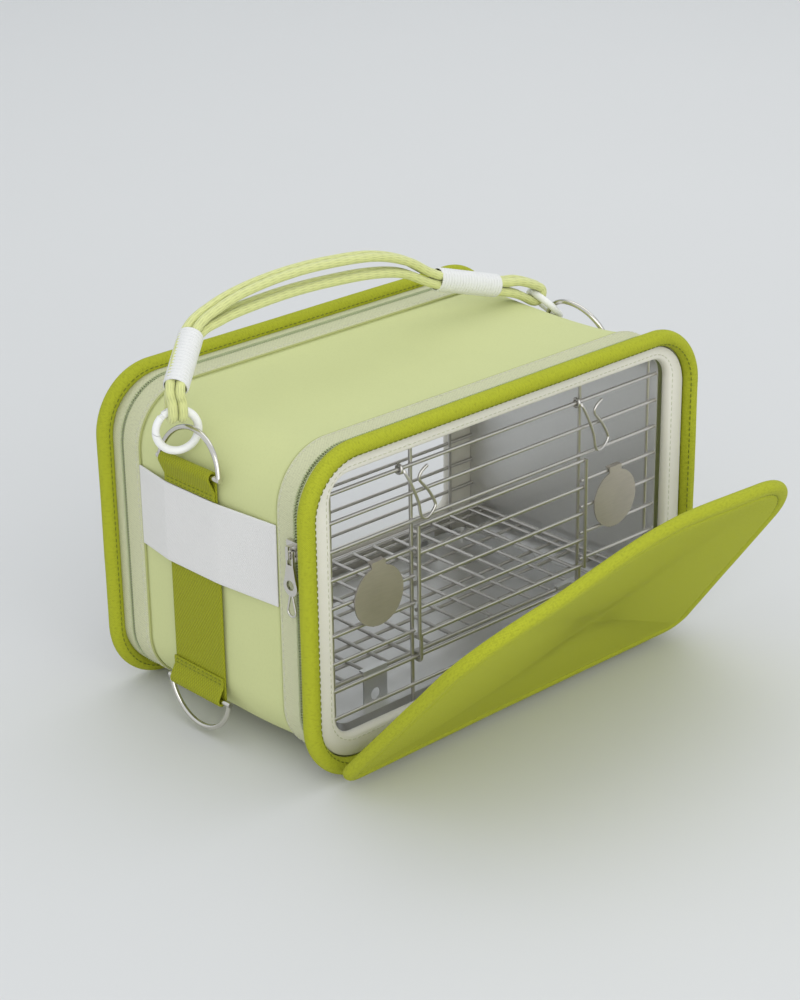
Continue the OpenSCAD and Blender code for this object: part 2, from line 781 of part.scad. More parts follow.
module ring_gate() {
    difference() {
        union() {
            intersection() {
                rotate([0, 0, gate_from])
                    rotate_extrude(angle = gate_to - gate_from + gate_lap)
                        translate([ring_r, 0]) circle(ring_tube - 0.1);
                gate_swing(gate_reach);
            }
            translate([0, 0, -gate_tongue / 2]) linear_extrude(gate_tongue) {
                translate(gate_pin) circle(1.5);
                polygon([
                    gate_pin + 1.4 * [cos(gate_pin_a), sin(gate_pin_a)],
                    (ring_r + 1.4) * [cos(gate_from + 3), sin(gate_from + 3)],
                    (ring_r - 1.4) * [cos(gate_from + 3), sin(gate_from + 3)],
                    gate_pin - 1.4 * [cos(gate_pin_a), sin(gate_pin_a)]
                ]);
            }
        }
        translate([gate_pin[0], gate_pin[1], -gate_tongue])
            cylinder(h = 2 * gate_tongue, r = gate_bore);
    }
}

// What the gate's free end sweeps as it turns on its pin
module gate_swing(r) {
    translate([gate_pin[0], gate_pin[1], -ring_tube - 1]) cylinder(h = 2 * ring_tube + 2, r = r);
}

// Puts a ring drawn flat at its place: its axis on heading and tilt d, top up
module ring_place(at, d) {
    translate(at) rotate([0, 0, d[0] + 90]) rotate([90 - d[1], 0, 0]) children();
}

module left_carry_ring() {
    color(white) ring_place(left_ring_at, left_ring_dir) carry_ring();
}

module right_carry_ring() {
    color(white) ring_place(right_ring_at, right_ring_dir) mirror([1, 0, 0]) carry_ring();
}

module left_ring_gate() {
    color(white) ring_place(left_ring_at, left_ring_dir) ring_gate();
}

module right_ring_gate() {
    color(white) ring_place(right_ring_at, right_ring_dir) mirror([1, 0, 0]) ring_gate();
}

// Handle rope: two loops side by side, each with an upper and a lower strand
module handle_rope() {
    color(pale) for (side = [-1, 1]) tube(rope_loop(side), rope_d / 2, 8, true);
}

// Whipping: thin cord wound round all four strands
module whipping(rows) {
    a = row_at(handle_rows[rows[0]]);
    b = row_at(handle_rows[rows[1]]);
    v = b - a;
    len = norm(v);
    turns = floor(len / whip_pitch);
    cord_r = whip_pitch / 2;
    bore = (1 + sqrt(2)) * rope_d / 2 + seam;
    translate(a) rotate([0, acos(v[2] / len), atan2(v[1], v[0])])
        rotate_extrude() difference() {
            union() {
                translate([bore, 0]) square([whip_d / 2 - bore - 0.4, turns * whip_pitch]);
                for (i = [0:turns - 1])
                    translate([whip_d / 2 - cord_r, (i + 0.5) * whip_pitch]) circle(cord_r);
            }
            square([bore, len]);
        }
}

module left_whipping() { color(white) whipping(left_whip_rows); }
module right_whipping() { color(white) whipping(right_whip_rows); }

// Cage sleeve: one bent sheet, open at the front and back
module cage_sleeve() {
    color(steel) band_slab(cage_hw, cage_lo, cage_hi, cage_corner, sheet_t,
        -cage_d / 2, cage_d / 2);
}

// Front grille: cross wires welded to uprights, left open for the door
module front_grille() {
    end = inner_hw - 0.05;
    // The outer uprights end where they meet the round corners of the sleeve
    corner = cage_corner - sheet_t;
    reach = max(0, outer_upright + wire_r - (inner_hw - corner));
    stop = corner - sqrt(corner ^ 2 - reach ^ 2) + 0.1;
    color(steel) union() {
        for (i = [0:wire_rows - 1]) {
            z = wire_lo + i * wire_pitch;
            if (i >= door_row_lo && i <= door_row_hi) {
                wire_x(-end, -door_upright, -row_y, z, wire_r);
                wire_x(door_upright, end, -row_y, z, wire_r);
            } else {
                wire_x(-end, end, -row_y, z, wire_r);
            }
        }
        for (x = [-door_upright, door_upright])
            wire_z(inner_z0 + 0.05, inner_z1 - 0.05, x, -upright_y, wire_r);
        for (x = [-outer_upright, outer_upright])
            wire_z(inner_z0 + stop, inner_z1 - stop, x, -upright_y, wire_r);
    }
}

// Back grille: the same wires, closed all over
module back_grille() {
    end = inner_hw - 0.05;
    color(steel) union() {
        for (i = [0:wire_rows - 1])
            wire_x(-end, end, row_y, wire_lo + i * wire_pitch, wire_r);
        for (x = [-back_upright, 0, back_upright])
            wire_z(inner_z0 + 0.05, inner_z1 - 0.05, x, upright_y, wire_r);
    }
}

// Wire door: its two lower ends are bent into eyes round the hinge wire
module cage_door() {
    x = door_upright + wire_r;
    color(steel) union() {
        for (i = [0:door_rows - 1])
            wire_x(-x, x, -door_bar_y, door_lo + i * wire_pitch, wire_r);
        for (s = [-1, 1])
            wire_z(door_lo - wire_r, door_hi + wire_r, s * door_upright, -door_post_y, wire_r);
        for (s = [-1, 1]) {
            wire_z(hinge_wire_z, door_lo, s * door_eye_x, -door_bar_y, wire_r);
            translate([s * door_eye_x, -row_y, hinge_wire_z]) rotate([90, 0, 90])
                rotate([0, 0, 180]) rotate_extrude(angle = 300)
                    translate([door_eye_r, 0]) circle(wire_r);
        }
    }
}

// Spring wire clip that hangs on the top wire and holds the door shut
module door_clip() {
    path = [for (p = clip_points) [p, [0.3, 1, 0.05]]];
    for (x = [0, clip_d - 0.1]) translate([-x, 0, 0]) rotate([0, 90, 0])
        rotate_extrude() translate([clip_eye_r, 0]) circle(clip_r);
    tube(path, clip_r, 8, false);
}

module left_door_clip() {
    color(steel) translate([left_clip_x, -row_y, top_wire_z]) door_clip();
}

module right_door_clip() {
    color(steel) translate([right_clip_x, -row_y, top_wire_z]) door_clip();
}

// Round steel plate with tabs bent over the wires behind it
module disc() {
    top = wire_lo + door_row_hi * wire_pitch + wire_r + tab_gap;
    bottom = wire_lo + 3 * wire_pitch - wire_r - tab_gap;
    back = upright_y - wire_r + 0.6;
    translate([disc_x, -disc_y, disc_z]) rotate([90, 0, 0]) cylinder(h = disc_t, d = disc_d);
    translate([disc_x - tab_w / 2, -disc_y - disc_t, top - 6]) cube([tab_w, disc_t, 6 + disc_t]);
    translate([disc_x - tab_w / 2, -disc_y - disc_t, top]) cube([tab_w, disc_y - back, disc_t]);
    translate([disc_x - tab_w / 2, -disc_y - disc_t, bottom - disc_t])
        cube([tab_w, disc_y - back, disc_t]);
}

module left_disc() { color(steel) mirror([1, 0, 0]) disc(); }
module right_disc() { color(steel) disc(); }

// Floor grating: a welded mesh with a heavier edge wire
module floor_grating() {
    nx = floor(grate_half_x / grate_pitch);
    ny = floor((grate_back - grate_front) / grate_pitch);
    cross_z = grate_z - grate_wire + weld;
    color(steel) union() {
        for (i = [-nx:nx]) if (abs(i * grate_pitch) < grate_half_x - 2)
            wire_y(grate_front, grate_back, i * grate_pitch, grate_z, grate_r);
        for (j = [1:ny]) if (grate_front + j * grate_pitch < grate_back - 2)
            wire_x(-grate_half_x, grate_half_x, grate_front + j * grate_pitch, cross_z, grate_r);
        for (y = [grate_front, grate_back])
            wire_x(-grate_half_x - edge_r, grate_half_x + edge_r, y, grate_z - 0.5, edge_r);
        for (s = [-1, 1])
            wire_y(grate_front, grate_back, s * grate_half_x, grate_z - 0.5, edge_r);
    }
}

// Leg plates: folded over the edge wire, with a round hole
module grating_legs() {
    top = grate_z - 0.5 + edge_r;
    color(steel) for (sx = [-1, 1], end = [0, 1]) {
        y = end == 0 ? grate_front : grate_back;
        k = end == 0 ? -1 : 1;
        plate_y = y + k * (edge_r + seam + sheet_t / 2);
        translate([sx * leg_x, 0, 0]) union() {
            difference() {
                translate([-leg_w / 2, plate_y - sheet_t / 2, leg_foot])
                    cube([leg_w, sheet_t, top + seam + sheet_t - leg_foot]);
                translate([0, plate_y + 2, leg_hole_z]) rotate([90, 0, 0])
                    cylinder(h = 4, r = leg_hole_r);
            }
            translate([-leg_w / 2, min(plate_y, y - k * edge_r), top + seam])
                cube([leg_w, abs(plate_y - y) + edge_r, sheet_t]);
        }
    }
}

// Floor tray: a shallow sheet steel pan
module floor_tray() {
    hw = inner_hw - max(tray_gap, cage_corner - sheet_t);
    hy = cage_d / 2 - tray_gap - 2;
    color(steel) difference() {
        tray_block(hw, hy, 5, tray_z, sheet_t + tray_rim);
        tray_block(hw - sheet_t, hy - sheet_t, 5 - sheet_t, tray_z + sheet_t, tray_rim + 1);
    }
}

module tray_block(hw, hy, r, z, h) {
    translate([0, 0, z]) linear_extrude(h) outline(hw, -hy, hy, r, r);
}

body_shell();
front_rim();
back_rim();
front_window_frame();
back_window_frame();
front_panel_tape();
back_panel_tape();
front_body_tape();
back_body_tape();
front_zip_slider();
front_zip_pull();
back_zip_slider();
back_zip_pull();
front_flap();
left_strap();
right_strap();
left_band();
right_band();
left_top_d_ring();
right_top_d_ring();
left_low_d_ring();
right_low_d_ring();
left_carry_ring();
right_carry_ring();
left_ring_gate();
right_ring_gate();
handle_rope();
left_whipping();
right_whipping();
cage_sleeve();
front_grille();
back_grille();
cage_door();
left_door_clip();
right_door_clip();
left_disc();
right_disc();
floor_grating();
grating_legs();
floor_tray();
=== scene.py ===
# %% [markdown]
# # Bird travel carrier
#
# A soft-sided travel carrier: a padded fabric body round a stainless steel
# cage, with a zipped end panel at the front and back, a flap that folds down
# and a rope handle. The rigid pieces (wires, rings, sheet steel) arrive as
# finished solids. The soft ones arrive as plain solids, and this lesson sews
# them: each is a surface worked out with numpy from a few sizes.

import json

import bmesh
import bpy
import numpy as np
from mathutils import Matrix, Vector

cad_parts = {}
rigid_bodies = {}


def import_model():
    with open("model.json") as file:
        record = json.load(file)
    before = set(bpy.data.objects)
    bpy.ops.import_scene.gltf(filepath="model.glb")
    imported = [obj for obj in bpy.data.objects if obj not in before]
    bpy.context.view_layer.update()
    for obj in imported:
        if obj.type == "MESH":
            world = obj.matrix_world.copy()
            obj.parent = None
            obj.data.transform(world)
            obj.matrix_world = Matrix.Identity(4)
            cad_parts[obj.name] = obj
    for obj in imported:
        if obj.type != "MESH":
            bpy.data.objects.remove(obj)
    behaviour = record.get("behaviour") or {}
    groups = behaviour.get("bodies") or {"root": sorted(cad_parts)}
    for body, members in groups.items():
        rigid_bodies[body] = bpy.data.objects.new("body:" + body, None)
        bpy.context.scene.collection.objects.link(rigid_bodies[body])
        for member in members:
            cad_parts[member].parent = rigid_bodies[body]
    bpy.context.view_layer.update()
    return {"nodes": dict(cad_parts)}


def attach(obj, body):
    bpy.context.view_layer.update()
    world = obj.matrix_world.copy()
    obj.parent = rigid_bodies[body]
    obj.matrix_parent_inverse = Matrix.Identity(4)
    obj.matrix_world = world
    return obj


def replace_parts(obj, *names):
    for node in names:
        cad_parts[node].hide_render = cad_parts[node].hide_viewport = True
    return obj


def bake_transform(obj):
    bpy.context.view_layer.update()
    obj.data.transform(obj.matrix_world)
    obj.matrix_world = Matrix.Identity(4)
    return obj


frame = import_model()
node = frame["nodes"]

# %% [markdown]
# Sizes are easier to read in millimetres, so everything below is worked out in
# millimetres and scaled once, when a mesh is made. These values repeat the
# main sizes of the solids.

# %% Sizes in millimetres
MM = 0.001
# Padded rims: half width, bottom, top, corner, depth and radius of the roll
RIM_HW, RIM_LO, RIM_HI, RIM_R, RIM_Y, ROLL = 135.5, 4.2, 172.0, 30.5, 77.7, 4.5
# Padded body: half width, bottom, top, corner, depth of its seams and of the lining
BODY_HW, BODY_LO, BODY_HI, BODY_R, SEAM_Y, LINING_Y = 132.0, 7.0, 169.5, 30.0, 53.0, 64.0
# Hollow of the body: half width, bottom, top, corner
CAVITY_HW, CAVITY_LO, CAVITY_HI, CAVITY_R = 118.4, 12.2, 160.9, 12.3
# Window frames: half width, bottom, top, corner, depth of both faces
FRAME_HW, FRAME_LO, FRAME_HI, FRAME_R, FRAME_Y0, FRAME_Y1 = 130.8, 8.9, 167.3, 25.9, 71.0, 77.0
# Flap: hinge line, rest angle in degrees, half width, bottom, top, corners, thickness
HINGE_Y, HINGE_Z, FLAP_OPEN = -82.6, 7.5, 36.0
FLAP_HW, FLAP_LO, FLAP_HI, FLAP_R, FLAP_R_LO, FLAP_T = 130.0, 1.0, 154.0, 42.0, 14.0, 6.7
# Bars of the D-rings: distance from the middle, height of the upper and lower bar
BAR_X, BAR_HI, BAR_LO = 137.95, 146.5, 25.0
print("front over the rims:", 2 * (RIM_HW + ROLL), "mm wide")


# %% [markdown]
# Every padded piece here is a closed grid of points: rows of points that wrap
# round, with the rows joined one to the next. One helper turns such a grid
# into a mesh. It also stores a UV map in metres of cloth, so that a weave
# drawn in UV space keeps its real size and follows the fabric round a bend.

# %% Grid to mesh
def lengths(P, axis):
    """Running length along an axis of a grid of points: the sum of the steps."""
    step = np.linalg.norm(np.diff(P, axis=axis), axis=-1)
    start = np.zeros_like(np.take(step, [0], axis))
    return np.concatenate([start, np.cumsum(step, axis)], axis)


def grid_mesh(name, P, wrap_rows=False, wrap_cols=True, caps=False):
    """Mesh of an (m, n, 3) grid in mm: quads between neighbours, closed along
    the rows or columns that wrap, with a flat face over each end if caps."""
    m, n = P.shape[:2]
    Q = P
    if wrap_rows:
        Q = np.concatenate([Q, Q[:1]], 0)
    if wrap_cols:
        Q = np.concatenate([Q, Q[:, :1]], 1)
    U = lengths(Q, 1).max(0)[None, :] * np.ones((Q.shape[0], 1))
    V = lengths(Q, 0).max(1)[:, None] * np.ones((1, Q.shape[1]))
    i, j = np.meshgrid(np.arange(Q.shape[0] - 1), np.arange(Q.shape[1] - 1), indexing="ij")
    i, j = i.ravel(), j.ravel()
    corner = [(i, j), (i, j + 1), (i + 1, j + 1), (i + 1, j)]
    faces = np.stack([(a % m) * n + (b % n) for a, b in corner], 1)
    uv = np.stack([np.stack([U[a, b], V[a, b]], -1) for a, b in corner], 1)
    mesh = bpy.data.meshes.new(name)
    cap_faces = [list(range(n))[::-1], [(m - 1) * n + k for k in range(n)]] if caps else []
    mesh.from_pydata((P.reshape(-1, 3) * MM).tolist(), [], faces.tolist() + cap_faces)
    layer = mesh.uv_layers.new(name="cloth")
    flat = np.concatenate([uv.reshape(-1, 2), np.zeros((2 * n if caps else 0, 2))]) * MM
    layer.data.foreach_set("uv", flat.ravel())
    mesh.polygons.foreach_set("use_smooth", [True] * len(mesh.polygons))
    obj = bpy.data.objects.new(name, mesh)
    bpy.context.scene.collection.objects.link(obj)
    return obj


def outward(obj):
    """Merge points that coincide and turn the faces of a closed mesh outwards."""
    bm = bmesh.new()
    bm.from_mesh(obj.data)
    bmesh.ops.remove_doubles(bm, verts=bm.verts, dist=1e-7)
    bmesh.ops.recalc_face_normals(bm, faces=bm.faces)
    bm.to_mesh(obj.data)
    bm.free()
    return obj


def unit(v):
    """Vectors scaled to length one."""
    return v / np.maximum(np.linalg.norm(v, axis=-1, keepdims=True), 1e-12)


def sample(q, s, P):
    """Columns of P, known at the running lengths s, read off at the lengths q."""
    return np.stack([np.interp(q, s, column) for column in P.T], -1)


def round_section(C, U, W, radius, a):
    """Tube points: each centre C plus radius times (U cos a + W sin a)."""
    U, W = np.broadcast_to(U, C.shape), np.broadcast_to(W, C.shape)
    cos, sin = np.cos(a)[None, :, None], np.sin(a)[None, :, None]
    return C[:, None] + radius * (cos * U[:, None] + sin * W[:, None])


# %% [markdown]
# The rims, frames, tapes and seams all run along rounded rectangles. One
# function gives such a loop as points spaced evenly by length, with the
# outward normal at each, so that all these pieces line up.

# %% Rounded rectangle
def rounded(hw, lo, hi, r_hi, r_lo=None, n=360):
    """Points (x, z), outward normals and length of a rounded rectangle, evenly
    spaced: four sides joined by quarter circles, from the bottom's middle."""
    r_lo = r_hi if r_lo is None else r_lo
    c = [(hw - r_lo, lo + r_lo, r_lo, -90), (hw - r_hi, hi - r_hi, r_hi, 0),
         (-hw + r_hi, hi - r_hi, r_hi, 90), (-hw + r_lo, lo + r_lo, r_lo, 180)]
    pts, nrm = [np.array([[0.0, lo]])], [np.array([[0.0, -1.0]])]
    for x, z, r, a in c:
        t = np.radians(np.linspace(a, a + 90, 65))
        d = np.stack([np.cos(t), np.sin(t)], 1)
        pts.append(np.array([[x, z]]) + max(r, 1e-6) * d)
        nrm.append(d)
    pts, nrm = np.concatenate(pts + [pts[0]]), np.concatenate(nrm + [nrm[0]])
    s = lengths(pts, 0)
    q = np.linspace(0, s[-1], n, endpoint=False)
    s = s + np.arange(len(s)) * 1e-9
    return sample(q, s, pts), unit(sample(q, s, nrm)), s[-1]


def lift(P2, y):
    """Points (x, z) put at depth y."""
    y = np.broadcast_to(y, P2.shape[:-1])
    return np.stack([P2[..., 0], y, P2[..., 1]], -1)


rim_length = rounded(RIM_HW, RIM_LO, RIM_HI, RIM_R)[2]
print("rim seam is", round(rim_length), "mm long")


# %% [markdown]
# Cloth never lies perfectly flat. A few long sine waves with random
# directions, added up, give the slow swell of padding. Each wave's size falls
# with its frequency, so that big swells are soft and small ones slight.

# %% Slow swell of padding
def swell(P, size, longest, waves=14, seed=1):
    """Smooth noise at the points: a sum of sines in random directions."""
    g = np.random.default_rng(seed)
    out = np.zeros(P.shape[:-1])
    for k in range(waves):
        d = unit(g.normal(size=3))
        f = 1 + 3 * k / waves
        out += np.sin(P @ d * 2 * np.pi * f / longest + g.uniform(0, 6.3)) / f
    return size * out / np.sqrt(waves)


print("swell at the middle:", round(float(swell(np.zeros(3), 0.35, 120, seed=5)), 3), "mm")


# %% [markdown]
# ## Camera and light
#
# The camera stands at the front left, a little above, as a photographer with
# a longish lens would. Its heading, height and roll are turned into three axes
# by cross products, which is exact and keeps the horizon under control.

# %% Camera
def make_camera(az, el, roll, place, lens):
    """Camera whose axes come from heading, height and roll by cross products."""
    a, e, r = np.radians([az, el, roll])
    back = np.array([np.sin(a) * np.cos(e), -np.cos(a) * np.cos(e), np.sin(e)])
    right = np.array([np.cos(a), np.sin(a), 0])
    up = np.cross(back, right)
    right, up = right * np.cos(r) + up * np.sin(r), up * np.cos(r) - right * np.sin(r)
    cam = bpy.data.cameras.new("camera")
    cam.sensor_fit, cam.sensor_width, cam.lens = "HORIZONTAL", 36.0, lens
    cam.clip_start, cam.clip_end = 0.05, 20
    obj = bpy.data.objects.new("camera", cam)
    turn = np.eye(4)
    turn[:3, 0], turn[:3, 1], turn[:3, 2], turn[:3, 3] = right, up, back, place
    obj.matrix_world = Matrix(turn.tolist())
    bpy.context.scene.collection.objects.link(obj)
    bpy.context.scene.camera = obj


make_camera(az=-42.703, el=23.5015, roll=-0.8194, place=np.array([-802.5, -865.0, 602.2]) * MM, lens=109.5)
print("camera looks through a lens of", bpy.context.scene.camera.data.lens, "mm")


# %% [markdown]
# Soft daylight is made with a pale world and two big square lamps: one high at
# the back right, which draws the edges, and one low at the front left, which
# fills the shadows. Big lamps give the soft shadow edges of a studio.

# %% Lamps
def lamp(name, place, aim, size, power, tint):
    """Square area lamp at a place, turned to look at a point."""
    data = bpy.data.lights.new(name, "AREA")
    data.shape, data.size, data.energy, data.color = "SQUARE", size, power, tint
    obj = bpy.data.objects.new(name, data)
    obj.location = place
    obj.rotation_euler = (Vector(aim) - Vector(place)).to_track_quat("-Z", "Y").to_euler()
    bpy.context.scene.collection.objects.link(obj)


lamp("key", place=(1.0, 0.6, 1.7), aim=(0, 0, 0.05), size=2.2, power=11, tint=(1.0, 0.985, 0.96))
lamp("fill", place=(-1.0, -1.9, 0.9), aim=(0, 0, 0.08), size=2.6, power=28, tint=(1.0, 0.99, 0.975))
print("lamps:", len(bpy.data.lights))


# %% [markdown]
# The world is a plain pale colour, brighter than the one that the camera sees
# behind the part. So it needs two backgrounds: one lights the part, and the
# other is only looked at.

# %% World
def daylight(lit, power, seen):
    """World that lights the part with one colour while the camera sees
    another: the camera ray of the light path switches between the two."""
    world = bpy.data.worlds.new("studio")
    bpy.context.scene.world = world
    world.use_nodes = True
    t = world.node_tree
    t.nodes.clear()
    out = t.nodes.new("ShaderNodeOutputWorld")
    both = t.nodes.new("ShaderNodeMixShader")
    path = t.nodes.new("ShaderNodeLightPath")
    t.links.new(path.outputs["Is Camera Ray"], both.inputs[0])
    for k, colour, strength in ((1, lit, power), (2, seen, 1.0)):
        sky = t.nodes.new("ShaderNodeBackground")
        sky.inputs[0].default_value = (*colour, 1)
        sky.inputs[1].default_value = strength
        t.links.new(sky.outputs[0], both.inputs[k])
    t.links.new(both.outputs[0], out.inputs[0])


daylight(lit=(0.935, 0.97, 1.0), power=0.88, seen=(0.63, 0.68, 0.70))
bpy.context.scene.view_settings.view_transform = "Standard"
print("world:", bpy.context.scene.world.name)


# %% [markdown]
# The carrier stands on a studio sweep: a floor that curves up into a wall, so
# that no line shows behind it. It belongs to the stage and not to the part.

# %% Studio sweep
SWEEP_HALF, SWEEP_BACK, SWEEP_R, SWEEP_TOP = 6.0, 4.0, 1.6, 6.0


def studio_sweep():
    """Floor that curves up into a wall far behind: a profile of a straight
    line, a quarter circle and a straight line, carried sideways."""
    t = np.radians(np.linspace(-90, 0, 24))
    bend = np.stack([SWEEP_BACK - SWEEP_R + SWEEP_R * np.cos(t), SWEEP_R + SWEEP_R * np.sin(t)], 1)
    prof = np.concatenate([[[-SWEEP_HALF, 0.0]], bend, [[SWEEP_BACK, SWEEP_TOP]]])
    side = np.linspace(-SWEEP_HALF, SWEEP_HALF, 9)
    turn = np.radians(42.7)
    P = np.zeros((len(prof), len(side), 3))
    a, b = prof[:, None, 0], side[None, :]
    P[..., 0] = a * np.sin(turn) + b * np.cos(turn)
    P[..., 1] = a * np.cos(turn) - b * np.sin(turn)
    P[..., 2] = prof[:, None, 1] - 0.0002
    return grid_mesh("studio_sweep", P / MM, wrap_cols=False)


studio_sweep()
print("sweep:", 2 * SWEEP_HALF, "m wide")


# %% [markdown]
# ## Materials
#
# Woven cloth is two families of threads that cross. In UV space one family is
# a sine along U and the other a sine along V. Their product is a chequerboard
# of soft hills and hollows, like threads that pass over and under each other.
# The colour follows: the gaps get a little painted shade, and slow noise makes the
# dye uneven. Threads follow the cloth because the UV map does.

# %% Node helpers
def new_material(name):
    """Empty material with a Principled shader joined to its output."""
    mat = bpy.data.materials.new(name)
    mat.use_nodes = True
    t = mat.node_tree
    t.nodes.clear()
    out = t.nodes.new("ShaderNodeOutputMaterial")
    bsdf = t.nodes.new("ShaderNodeBsdfPrincipled")
    t.links.new(bsdf.outputs[0], out.inputs[0])
    return mat, t, bsdf


def math_node(t, kind, a, b=None, c=None):
    """Math node whose inputs are sockets or plain numbers."""
    n = t.nodes.new("ShaderNodeMath")
    n.operation = kind
    for k, v in enumerate((a, b, c)):
        if v is None:
            continue
        if isinstance(v, (int, float)):
            n.inputs[k].default_value = v
        else:
            t.links.new(v, n.inputs[k])
    return n.outputs[0]


def noise(t, vec, scale, detail=3, rough=0.55):
    """Noise texture at a scale in waves per metre."""
    n = t.nodes.new("ShaderNodeTexNoise")
    n.inputs["Scale"].default_value = scale
    n.inputs["Detail"].default_value = detail
    n.inputs["Roughness"].default_value = rough
    t.links.new(vec, n.inputs["Vector"])
    return n.outputs["Fac"]


def mix_colour(t, fac, a, b):
    """Colour between two colours or sockets by a factor."""
    n = t.nodes.new("ShaderNodeMix")
    n.data_type = "RGBA"
    for k, v in ((6, a), (7, b)):
        if isinstance(v, tuple):
            n.inputs[k].default_value = (*v, 1)
        else:
            t.links.new(v, n.inputs[k])
    t.links.new(fac, n.inputs[0])
    return n.outputs[2]


def bump(t, bsdf, height, distance, strength=1.0):
    """Height socket, in units of distance metres, onto the shader's normal."""
    n = t.nodes.new("ShaderNodeBump")
    n.inputs["Strength"].default_value = strength
    n.inputs["Distance"].default_value = distance
    t.links.new(height, n.inputs["Height"])
    t.links.new(n.outputs[0], bsdf.inputs["Normal"])


# %% Woven cloth
def cloth(name, colour, across, along, relief, deep=0.82, fuzz=0.25, rough=0.85, mottle=0.05, slub=0.0):
    """Woven cloth: threads across and along in metres of pitch, relief in
    metres, deep the painted shade in the gaps between threads, mottle the
    dye's unevenness and slub how much single thick threads stand out."""
    mat, t, bsdf = new_material(name)
    uv = t.nodes.new("ShaderNodeUVMap")
    uv.uv_map = "cloth"
    obj = t.nodes.new("ShaderNodeTexCoord")
    part = t.nodes.new("ShaderNodeSeparateXYZ")
    t.links.new(uv.outputs[0], part.inputs[0])
    wave = []
    for k, pitch in ((0, across), (1, along)):
        turns = math_node(t, "MULTIPLY", part.outputs[k], 2 * np.pi / pitch)
        wave.append(math_node(t, "SINE", turns))
    over = math_node(t, "MULTIPLY", wave[0], wave[1])
    thread = math_node(t, "MULTIPLY_ADD", over, 0.5, 0.5)
    fibre = noise(t, uv.outputs[0], 2600, 2, 0.6)
    height = math_node(t, "MULTIPLY_ADD", fibre, 0.5, thread)
    slow = noise(t, obj.outputs["Object"], 24, 4, 0.6)
    dye = mix_colour(t, slow, tuple(c * (1 - mottle) for c in colour),
                     tuple(min(c * (1 + mottle), 1) for c in colour))
    # Painted shade: the gaps between threads are darkened where the weave's height is low.
    gap = tuple(c * deep for c in colour)
    shade = mix_colour(t, thread, gap, dye)
    thick = t.nodes.new("ShaderNodeMapping")
    thick.inputs["Scale"].default_value = (500, 1000, 1)
    t.links.new(uv.outputs[0], thick.inputs["Vector"])
    spot = noise(t, thick.outputs[0], 1.0, 2, 0.7)
    dim = math_node(t, "SMOOTH_MAX", math_node(t, "MULTIPLY_ADD", spot, -5.0, 2.6), 0.0, 0.2)
    shade = mix_colour(t, math_node(t, "MULTIPLY", dim, slub), shade, tuple(c * 0.45 for c in colour))
    t.links.new(shade, bsdf.inputs["Base Color"])
    worn = math_node(t, "MULTIPLY_ADD", slow, 0.12, rough - 0.06)
    t.links.new(worn, bsdf.inputs["Roughness"])
    bsdf.inputs["Specular IOR Level"].default_value = 0.3
    bsdf.inputs["Sheen Weight"].default_value = fuzz
    bsdf.inputs["Sheen Roughness"].default_value = 0.5
    bsdf.inputs["Sheen Tint"].default_value = (*(min(1, c * 1.2 + 0.1) for c in colour), 1)
    bump(t, bsdf, height, relief)
    return mat


# The sixth number of each cloth, deep, sets its painted shade in the gaps between threads.
lime = cloth("lime_cloth", (0.455, 0.490, 0.024), 0.0010, 0.0010, 0.00014, 0.74, 0.12, slub=0.42)
pale = cloth("pale_cloth", (0.605, 0.640, 0.310), 0.0007, 0.0007, 0.00004, 0.93, 0.20, slub=0.05)
cream = cloth("cream_cloth", (0.80, 0.775, 0.70), 0.0008, 0.0008, 0.00006, 0.90, 0.25)
tape = cloth("tape_cloth", (0.68, 0.69, 0.45), 0.0013, 0.0010, 0.00014, 0.74, 0.12, slub=0.25)
coil = cloth("coil_nylon", (0.54, 0.61, 0.36), 0.0009, 0.0009, 0.00002, 0.95, 0.05, 0.45)
webbing = cloth("green_webbing", (0.350, 0.372, 0.012), 0.0017, 0.0026, 0.00024, 0.66, 0.06, 0.75, slub=0.25)
elastic = cloth("white_webbing", (0.75, 0.74, 0.725), 0.0016, 0.0011, 0.00012, 0.90, 0.15, 0.6)
thread_lime = cloth("lime_thread", (0.19, 0.22, 0.012), 0.0006, 0.0006, 0.00005, 0.8, 0.05, 0.6)
thread_pale = cloth("pale_thread", (0.66, 0.66, 0.52), 0.0006, 0.0006, 0.00005, 0.8, 0.1, 0.6)
piping_cloth = cloth("seam_piping", (0.46, 0.49, 0.20), 0.0008, 0.0008, 0.00005, 0.8, 0.1)
print("finishes so far, with those that the solids came with:", len(bpy.data.materials))


# %% [markdown]
# The rope is braided: its strands run nearly lengthwise and cross slowly. In
# its UV map, U plus and minus a share of V give the two families of strands.
# The whippings are thin cord wound side by side, so their turns are real
# geometry and the material only adds the cord's own twist, with a faint painted shade in its hollows.

# %% Braid and twist
def braid(name, colour, pitch, relief, lean, deep):
    """Braided cord: two sines, one of U + lean V and one of U - lean V. With a
    small lean the strands run nearly lengthwise and cross slowly."""
    mat, t, bsdf = new_material(name)
    uv = t.nodes.new("ShaderNodeUVMap")
    uv.uv_map = "cloth"
    part = t.nodes.new("ShaderNodeSeparateXYZ")
    t.links.new(uv.outputs[0], part.inputs[0])
    a = math_node(t, "MULTIPLY_ADD", part.outputs[1], lean, part.outputs[0])
    b = math_node(t, "MULTIPLY_ADD", part.outputs[1], -lean, part.outputs[0])
    wa = math_node(t, "SINE", math_node(t, "MULTIPLY", a, 2 * np.pi / pitch))
    wb = math_node(t, "SINE", math_node(t, "MULTIPLY", b, 2 * np.pi / pitch))
    hill = math_node(t, "MULTIPLY_ADD", math_node(t, "MAXIMUM", wa, wb), 0.5, 0.5)
    fibre = noise(t, uv.outputs[0], 3000, 2)
    height = math_node(t, "MULTIPLY_ADD", fibre, 0.4, hill)
    # Painted shade: the hollows between strands are darker than the strands' tops.
    shade = mix_colour(t, hill, tuple(c * deep for c in colour), colour)
    t.links.new(shade, bsdf.inputs["Base Color"])
    bsdf.inputs["Roughness"].default_value = 0.7
    bsdf.inputs["Sheen Weight"].default_value = 0.25
    bump(t, bsdf, height, relief)
    return mat
